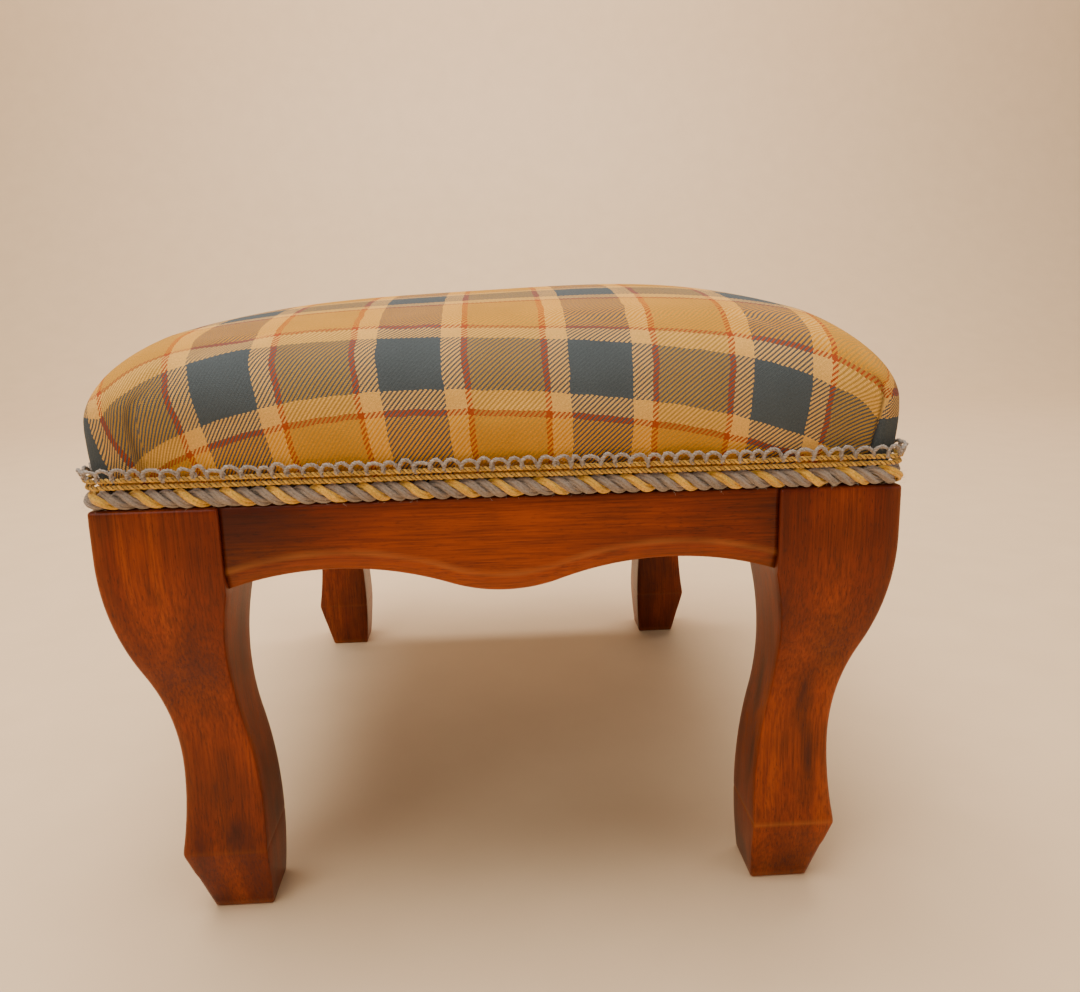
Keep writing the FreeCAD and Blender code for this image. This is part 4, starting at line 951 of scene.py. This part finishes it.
def make_webbing(node, axis, crossings, over_first):
    """A strip of webbing, over and under the strips that it crosses, with its ends turned back."""
    low, high = (np.array(corner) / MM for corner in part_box(node))
    middle = (low[1 - axis] + high[1 - axis]) / 2
    width = (high[1 - axis] - low[1 - axis]) / 2 - 0.4
    end = (high[axis] - low[axis]) / 2 - 1.0
    along = np.linspace(-end, end, 150)
    level = np.full_like(along, WEB_LOW)
    for k, crossing in enumerate(crossings):
        over = (k % 2 == 0) == over_first
        level += (WEB_HIGH - WEB_LOW) * smooth((31 - np.abs(along - crossing)) / 5) * over
    top = WEB_LOW + WEB_THICK + 0.1
    turned_back = [(end - back, top) for back in np.linspace(0, 12, 8)]
    path = np.array([(-place, z) for place, z in turned_back[::-1]] + list(zip(along, level)) + turned_back)
    sides = np.linspace(-width, width, 15)
    points = np.array([[(place, middle + s, z - 0.15 * (s / width) ** 8) for s in sides]
                       for place, z in path])
    length = np.concatenate([[0], np.cumsum(np.hypot(*np.diff(path, axis=0).T))])
    if axis == 1:
        points = points[..., [1, 0, 2]]
    piece = add_mesh(node + "_strip", points, ring_faces(*points.shape[:2], close_columns=False))
    set_cloth_map(piece, *np.meshgrid(sides, length))
    finished(piece, JUTE, "jute_webbing", node)


for i in range(3):
    make_webbing(f"webbing_long_{i + 1}", 1, CROSS_PLACES, i % 2 == 0)
for i in range(4):
    make_webbing(f"webbing_cross_{i + 1}", 0, LONG_PLACES, i % 2 == 1)

flat, quads = grid_sheet(np.linspace(-151, 151, 62), np.linspace(-191, 191, 78),
                         lambda x, y: 201.25 + 0.15 * np.sin(x / 12.7) * np.sin(y / 12.7))
burlap = add_mesh("hessian_cloth", flat, quads)
set_cloth_map(burlap, flat[:, 0], flat[:, 1])
HESSIAN = weave_material("hessian", (0.50, 0.36, 0.19), (0.33, 0.22, 0.10), 1.6, 0.92)
finished(burlap, HESSIAN, "hessian", "hessian")

make_layer("foam_block", 8.5, foam_material(), "foam", "foam_pad", 0.25)
make_layer("wadding_fleece", 3.4, wadding_material(), "wadding", "wadding", 0.35)


# Dust cover: a panel under the seat with turned-up hems, sagging a little between its tacks

PANEL_X, PANEL_Y, PANEL_LEVEL, HEM_TOP = 135.6, 175.6, 169.6, 182.0
# Half lengths of the hems at the panel's ends and sides, and the corner notches that clear the blocks
HEM_X, HEM_Y, NOTCH_X, NOTCH_Y = 62.0, 102.0, 110.2, 150.2


def panel_places(edge, notch, count):
    outer = np.append(np.linspace(notch, edge - 9.6, 4), edge)
    return np.concatenate([-outer[::-1], np.linspace(6.2 - notch, notch - 6.2, count), outer])


def panel_level(x, y):
    hang = np.cos(np.clip(x / 118, -1, 1) * math.pi / 2) * np.cos(np.clip(y / 158, -1, 1) * math.pi / 2)
    return PANEL_LEVEL - 2.2 * hang ** 0.8 + 0.25 * np.sin(x / 13 + y / 31) * np.sin(y / 17 + 1) * hang


def make_dust_cover():
    across, along = panel_places(PANEL_X, NOTCH_X, 53), panel_places(PANEL_Y, NOTCH_Y, 73)
    flat, faces = grid_sheet(across, along, panel_level,
                             lambda x, y: abs(x) <= NOTCH_X or abs(y) <= NOTCH_Y)
    points, uv = flat.tolist(), flat[:, :2].tolist()
    for axis, edge, half in ((1, PANEL_Y, HEM_X), (0, PANEL_X, HEM_Y)):
        for sign in (-1, 1):
            row = [i for i, p in enumerate(flat)
                   if abs(p[axis] - sign * edge) < 0.01 and abs(p[1 - axis]) <= half + 0.01]
            row.sort(key=lambda i: flat[i][1 - axis])
            for rise in (0.8, 4.0, 8.0, HEM_TOP - PANEL_LEVEL):
                fresh = list(range(len(points), len(points) + len(row)))
                for i in row:
                    place = points[i][:2]
                    points.append([*place, PANEL_LEVEL + rise])
                    place[axis] += sign * rise
                    uv.append(place)
                faces += [(row[k], row[k + 1], fresh[k + 1], fresh[k]) for k in range(len(row) - 1)]
                row = fresh
    piece = add_mesh("dust_cover_cloth", points, faces)
    set_cloth_map(piece, *np.transpose(uv))
    return piece


CAMBRIC = weave_material("black_cambric", (0.040, 0.040, 0.043), (0.018, 0.018, 0.020), 0.7, 0.88)
dust = finished(make_dust_cover(), CAMBRIC, "black_cambric", "dust_cover")


# Steel and plain wood of the pieces that keep their CAD shape

def steel_material(name, light, dark, roughness):
    n = Nodes(name)
    scratches = n.noise(n.position((1, 1, 0.15)), scale=2.5, detail=4, roughness=0.7)
    spots = n.noise(n.position(), scale=0.7, detail=3)
    colour = n.mix(n.ramp(spots, ((0.45, 0.0), (0.7, 1.0))), light, dark)
    return n.finish(colour, n.math("MULTIPLY_ADD", scratches, 0.3, roughness), n.bump(scratches, 0.3, 0.05),
                    Metallic=1.0)


def dress(node, material):
    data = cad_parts[node].data
    data.materials.clear()
    data.materials.append(material)


BLOCK_WOOD = wood_material("plain_beech", 0, (3.0, 8.0, 1.0), stained=False)
for place, turn in CORNERS:
    dress("corner_block_" + place, BLOCK_WOOD)
dress("corner_block_screws", steel_material("screw_steel", (0.55, 0.54, 0.51), (0.30, 0.28, 0.25), 0.28))
TACK_STEEL = steel_material("tack_steel", (0.13, 0.14, 0.17), (0.10, 0.07, 0.05), 0.35)
for node in ("webbing_tacks", "cover_tacks", "dust_cover_tacks"):
    dress(node, TACK_STEEL)


# Wood

LEG_WOOD = {place: wood_material("stained_beech_leg_" + place, 2, (37.0 * turn, 11.0 * turn, 5.0))
            for place, turn in CORNERS}
RAIL_WOOD = {place: wood_material("stained_beech_rail_" + place, turn % 2, (13.0 * turn, 71.0, 29.0 * turn))
             for place, turn in SIDES}
for place, turn in CORNERS:
    make_leg(place, turn, LEG_WOOD[place])
for place, turn in SIDES:
    make_rail(place, turn, RAIL_WOOD[place])


# Trim: paths round the stool, and yarns laid along them

def trim_path(overhang, corner, spacing):
    """Points round the stool at even steps, their outward directions and the length so far."""
    a, b = HALF_X + overhang, HALF_Y + overhang
    points, outward = [], []
    for turn in range(4):
        half, depth = (a, b) if turn % 2 == 0 else (b, a)
        straight = int(round((2 * half - 2 * corner) / spacing))
        arc = max(3, int(round(corner * math.pi / 2 / spacing)))
        side = [((-half + corner + (2 * half - 2 * corner) * k / straight, -depth), (0.0, -1.0))
                for k in range(straight)]
        for k in range(arc):
            angle = -math.pi / 2 * (1 - k / arc)
            direction = (math.cos(angle), math.sin(angle))
            side.append(((half - corner + corner * direction[0], -depth + corner + corner * direction[1]),
                         direction))
        for place, direction in side:
            points.append(turned(np.array([*place, 0.0]), turn)[:2])
            outward.append(turned(np.array([*direction, 0.0]), turn)[:2])
    points, outward = np.array(points), np.array(outward)
    steps = np.linalg.norm(np.roll(points, -1, axis=0) - points, axis=1)
    return points, outward, np.concatenate([[0], np.cumsum(steps)[:-1]]), float(steps.sum())


def tube(centres, radius, sides=6):
    """Points of a closed tube round a closed line of centres."""
    ahead = np.roll(centres, -1, axis=0) - np.roll(centres, 1, axis=0)
    ahead /= np.maximum(np.linalg.norm(ahead, axis=1, keepdims=True), 1e-9)
    first = np.cross(ahead, np.array([0.0, 0.0, 1.0]))
    weak = np.linalg.norm(first, axis=1) < 0.2
    first[weak] = np.cross(ahead[weak], np.array([0.0, 1.0, 0.0]))
    first /= np.linalg.norm(first, axis=1, keepdims=True)
    second = np.cross(first, ahead)
    radius = np.broadcast_to(np.asarray(radius, float), (len(centres),))[:, None]
    rings = []
    for k in range(sides):
        angle = 2 * math.pi * k / sides
        rings.append(centres + radius * (math.cos(angle) * first + math.sin(angle) * second))
    return np.stack(rings, axis=1)


def waver(length, total, seed, size):
    """A smooth closed wander along the trim, as a hand-laid braid has."""
    local = np.random.default_rng(seed)
    result = np.zeros_like(length)
    for waves in range(2, 15):
        result += (local.normal() * np.sin(2 * math.pi * waves * length / total + local.uniform(0, 6.28))
                   / waves)
    return size * result


def uneven(length, total, seed, waves):
    """A fine closed unevenness between about -1 and 1."""
    local = np.random.default_rng(seed)
    result = np.zeros_like(length)
    for k in range(8):
        turns = int(waves * (0.5 + local.uniform(0, 1)))
        result += np.sin(2 * math.pi * turns * length / total + local.uniform(0, 6.28))
    return result / 4


def join_tubes(name, tubes, tints):
    """One mesh of several closed tubes, each with its own tint."""
    points, faces, shades = [], [], []
    start = 0
    for rings, tint in zip(tubes, tints):
        rows, sides = rings.shape[:2]
        points.append(rings.reshape(-1, 3))
        faces += [tuple(start + i for i in face) for face in ring_faces(rows, sides, close_rows=True)]
        shades.append(np.full(rows * sides, tint))
        start += rows * sides
    piece = add_mesh(name, np.concatenate(points), faces)
    set_attribute(piece, "tint", np.concatenate(shades))
    return piece


def yarn_material(name, first, second):
    """Twisted yarn in two colours: the tint of each yarn picks between them."""
    n = Nodes(name)
    fibre = n.noise(n.position((1, 1, 1.6)), scale=1.3, detail=4, roughness=0.7, distortion=0.4)
    patchy = n.noise(n.position(), scale=0.11, detail=3)
    colour = n.mix(n.attribute("tint"), first, second)
    colour = n.mix(1.0, colour, n.ramp(fibre, ((0.32, 0.50), (0.52, 1.0), (0.7, 1.25))), blend="MULTIPLY")
    colour = n.mix(1.0, colour, n.ramp(patchy, ((0.3, 0.82), (0.7, 1.15))), blend="MULTIPLY")
    return n.finish(colour, 0.85, n.bump(fibre, 0.6, 0.25), Sheen_Weight=0.25, Sheen_Roughness=0.5)


GREY_YARN, YELLOW_YARN, BROWN_YARN = (0.315, 0.235, 0.170), (0.82, 0.44, 0.045), (0.060, 0.030, 0.016)


def rope(name, level, line, strand_radius, yarns, spacing):
    """Three plump strands, each of a few yarns that lie nearly along it."""
    points, outward, length, total = trim_path(line, 4.5, spacing)
    rise = waver(length, total, 11, 0.16)
    lay = round(total / 17.3)
    tubes, tints = [], []
    reach = strand_radius * 1.1
    for s in range(3):
        phase = 2 * math.pi * (s / 3 - lay * length / total) + 0.25 * uneven(length, total, 40 + s, 30)
        for y in range(yarns):
            twist = 2 * math.pi * (y / yarns + 0.5 * lay * length / total)
            twist = twist + 1.1 * uneven(length, total, 50 + s, 22)
            sway = strand_radius * 0.56 * (1 + 0.12 * uneven(length, total, 60 + 3 * s + y, 120))
            out = reach * np.cos(phase) + sway * np.cos(twist + phase)
            up = reach * np.sin(phase) + sway * np.sin(twist + phase)
            thick = strand_radius * 0.46 * (1 + 0.08 * uneven(length, total, 80 + 3 * s + y, 200))
            centres = np.column_stack([points + outward * out[:, None], level + rise + up])
            tubes.append(tube(centres, thick, 7))
            tints.append(1.0 if s == 0 else 0.0)
    return join_tubes(name, tubes, tints)


def cord(name, level, line, seed):
    """A yellow and a beige yarn twisted together round a dark core."""
    points, outward, length, total = trim_path(line, 7.3, 0.5)
    rise = waver(length, total, 11, 0.16) + 0.10 * uneven(length, total, seed, 25)
    lay = round(total / 3.9)
    tubes, tints = [], []
    for share, reach, thick, tint in ((0.0, 0.52, 0.56, 0.0), (0.5, 0.52, 0.56, 0.35), (0.0, 0.0, 0.66, 1.0)):
        phase = 2 * math.pi * (share - lay * length / total) + 0.3 * uneven(length, total, seed + 5, 60)
        centres = np.column_stack([points + outward * (reach * np.cos(phase))[:, None],
                                   level + rise + reach * np.sin(phase)])
        tubes.append(tube(centres, thick * (1 + 0.07 * uneven(length, total, seed + 3, 300)), 6))
        tints.append(tint)
    return join_tubes(name, tubes, tints)


def loops(name, level, line, count, spacing):
    """A two-ply yarn thrown into a row of uneven loops."""
    points, outward, length, total = trim_path(line, 7.8, spacing)
    bend = uneven(length, total, 91, 60)
    phase = 2 * math.pi * count * length / total + 0.9 * bend
    tall = 2.15 * (1 + 0.32 * uneven(length, total, 92, 170))
    slide = (-1.35 + 0.8 * uneven(length, total, 93, 90)) * np.sin(phase) + 0.4 * np.cos(phase)
    lean = -0.8 * np.cos(phase + 0.4) + 0.25 * uneven(length, total, 94, 100)
    at = (length + slide) % total
    knots = np.append(length, total)
    x = np.interp(at, knots, np.append(points[:, 0], points[0, 0]))
    y = np.interp(at, knots, np.append(points[:, 1], points[0, 1]))
    base = np.column_stack([x, y]) + outward * lean[:, None]
    middle = np.column_stack([base, level + waver(length, total, 11, 0.16) - tall * np.cos(phase)])
    step = np.linalg.norm(np.roll(middle, -1, axis=0) - middle, axis=1)
    run = np.concatenate([[0], np.cumsum(step)[:-1]])
    turns = round(step.sum() / 2.3)
    ahead = np.roll(middle, -1, axis=0) - np.roll(middle, 1, axis=0)
    ahead /= np.linalg.norm(ahead, axis=1, keepdims=True)
    facing = np.column_stack([outward, np.zeros(len(outward))])
    second = np.cross(ahead, facing)
    second /= np.maximum(np.linalg.norm(second, axis=1, keepdims=True), 1e-6)
    tubes = []
    for ply in range(2):
        twist = 2 * math.pi * (ply / 2 + turns * run / step.sum())
        centres = middle + 0.40 * (np.cos(twist)[:, None] * facing + np.sin(twist)[:, None] * second)
        tubes.append(tube(centres, 0.54, 6))
    return join_tubes(name, tubes, [0.3, 1.0])


def fibres(name, bands, count, longest):
    """Stray fibres standing out of the trim: thin bent ribbons on (overhang, level, share, tint) bands."""
    corners, faces, shades = [], [], []
    for overhang, low, high, share, tint in bands:
        points, outward, length, total = trim_path(overhang, 7.0, 1.0)
        for _ in range(int(count * share)):
            k = RNG.integers(len(points))
            normal = np.array([*outward[k], 0.0])
            along = np.array([-outward[k][1], outward[k][0], 0.0])
            at = np.array([*points[k], RNG.uniform(low, high)]) + along * RNG.uniform(-0.5, 0.5)
            aim = normal * RNG.uniform(0.2, 1.0) + along * RNG.normal(0, 0.8)
            aim[2] += RNG.normal(0, 0.6)
            aim /= np.linalg.norm(aim)
            bend = RNG.normal(0, 0.5, 3)
            size = longest * RNG.uniform(0.4, 1.0)
            side = np.cross(aim, normal + bend * 0.2)
            side *= 0.035 / max(np.linalg.norm(side), 1e-6)
            start = len(corners)
            for m in range(4):
                share_m = m / 3
                spot = at + aim * size * share_m + bend * size * 0.4 * share_m ** 2
                corners += [spot - side * (1 - 0.6 * share_m), spot + side * (1 - 0.6 * share_m)]
                shades += [tint, tint]
            faces += [(k, k + 1, k + 3, k + 2) for k in range(start, start + 6, 2)]
    piece = add_mesh(name, np.array(corners), faces)
    set_attribute(piece, "tint", shades)
    return piece


ROPE_LEVEL = LEDGE + 0.15 + 4.0
ROPE_LINE = -(LEDGE_WIDTH - 0.2 - 1.1 - 0.2 - 0.6) + 0.7 + 0.15 + 4.0
ROPE_YARN = yarn_material("rope_yarn", GREY_YARN, YELLOW_YARN)
CORD_YARN = yarn_material("cord_yarn", YELLOW_YARN, BROWN_YARN)
LOOP_YARN = yarn_material("loop_yarn", GREY_YARN, (0.40, 0.33, 0.27))
finished(rope("gimp_rope_strands", ROPE_LEVEL, ROPE_LINE, 1.87, 4, 0.6), ROPE_YARN, "trim_grey", "gimp_rope")
finished(cord("gimp_cord_lower_strands", 199.35, 0.4, 21), CORD_YARN, "trim_yellow", "gimp_cord_lower")
finished(cord("gimp_cord_upper_strands", 202.1, 0.8, 22), CORD_YARN, "trim_yellow", "gimp_cord_upper")
finished(loops("gimp_loop_yarn", 204.2, 1.75, 240, 0.3), LOOP_YARN, "trim_grey", "gimp_loops")
FUZZ = yarn_material("loose_fibre", (0.42, 0.36, 0.32), (0.80, 0.58, 0.22))
finished(fibres("gimp_loose_fibres", ((-1.4 + 3.4, 190.6, 197.6, 0.55, 0.2), (1.2, 198.4, 203.2, 0.2, 1.0),
                                      (2.0, 203.5, 207.0, 0.25, 0.0)), 5200, 1.9), FUZZ, "trim_grey")

tape_points, tape_outward, tape_length, tape_total = trim_path(-6.05, 2.6, 1.2)
tape_rows = []
for out, z in ((0.30, 190.3), (0.36, 193.4), (0.30, 196.5), (-0.28, 196.5), (-0.28, 190.3)):
    tape_rows.append(np.column_stack([tape_points + tape_outward * out, np.full(len(tape_points), z)]))
tape = add_mesh("gimp_band_tape", np.array(tape_rows), ring_faces(5, len(tape_points), close_rows=True))
set_cloth_map(tape, np.tile(tape_length, (5, 1)), np.array(tape_rows)[..., 2])
TAPE = weave_material("trim_tape", (0.34, 0.29, 0.26), (0.22, 0.18, 0.16), 0.6, 0.85)
finished(tape, TAPE, "trim_grey", "gimp_band")


# Camera, floor and light

def photo_camera():
    yaw, pitch, roll = (math.radians(a) for a in (2.794, 12.103, -1.371))
    forward = Vector((math.sin(yaw) * math.cos(pitch), math.cos(yaw) * math.cos(pitch), -math.sin(pitch)))
    right = Vector((math.cos(yaw), -math.sin(yaw), 0))
    up = right.cross(forward)
    across = math.cos(roll) * right + math.sin(roll) * up
    upward = -math.sin(roll) * right + math.cos(roll) * up
    data = bpy.data.cameras.new("photo_camera")
    data.sensor_width = 36
    data.lens = 36 * 913.5 / 1080
    data.clip_start, data.clip_end = 0.02, 30
    camera = bpy.data.objects.new("photo_camera", data)
    axes = Matrix((across, upward, -forward)).transposed().to_4x4()
    camera.matrix_world = Matrix.Translation(Vector((-2.54, -550.05, 265.66)) * MM) @ axes
    bpy.context.scene.collection.objects.link(camera)
    bpy.context.scene.camera = camera


def area_light(name, place, target, size, watts, colour):
    data = bpy.data.lights.new(name, "AREA")
    data.shape = "RECTANGLE"
    data.size, data.size_y = size
    data.energy = watts
    data.color = colour
    light = bpy.data.objects.new(name, data)
    light.location = place
    light.rotation_mode = "QUATERNION"
    light.rotation_quaternion = (Vector(target) - Vector(place)).to_track_quat("-Z", "Y")
    bpy.context.scene.collection.objects.link(light)


def make_stage():
    """Pale floor that curves up into a pale wall well behind the stool."""
    profile = [(-6.0, 0.0), (1.6, 0.0)]
    profile += [(1.6 + 1.2 * math.sin(a), 1.2 - 1.2 * math.cos(a)) for a in np.linspace(0.1, math.pi / 2, 16)]
    profile += [(2.8, 4.0)]
    rows = np.array([[(x * 1000, y * 1000, z * 1000) for x in (-6, 6)] for y, z in profile])
    floor = add_mesh("floor", rows, ring_faces(len(profile), 2, close_columns=False))
    n = Nodes("pale_floor")
    grain = n.noise(n.position(), scale=0.02, detail=3)
    tone = n.ramp(grain, ((0.3, (0.81, 0.565, 0.335)), (0.7, (0.84, 0.590, 0.352))))
    floor.data.materials.append(n.finish(tone, 0.55, n.bump(grain, 0.05, 0.2)))


photo_camera()
make_stage()
area_light("top_light", (-0.25, -0.15, 2.0), (0, 0, 0.1), (1.5, 1.5), 54, (1.0, 0.97, 0.93))
area_light("key_light", (-1.1, -1.9, 1.5), (0, 0, 0.15), (1.6, 1.2), 20, (1.0, 0.95, 0.88))
area_light("fill_light", (1.7, -1.4, 0.8), (0, 0, 0.12), (1.4, 1.4), 7, (1.0, 0.94, 0.87))
area_light("wall_light", (0, 0.9, 2.6), (0, 2.8, 1.0), (3.0, 0.8), 92, (1.0, 0.95, 0.90))
world = bpy.data.worlds.new("soft_room")
world.use_nodes = True
world.node_tree.nodes["Background"].inputs["Color"].default_value = (0.93, 0.90, 0.86, 1.0)
world.node_tree.nodes["Background"].inputs["Strength"].default_value = 0.21
bpy.context.scene.world = world
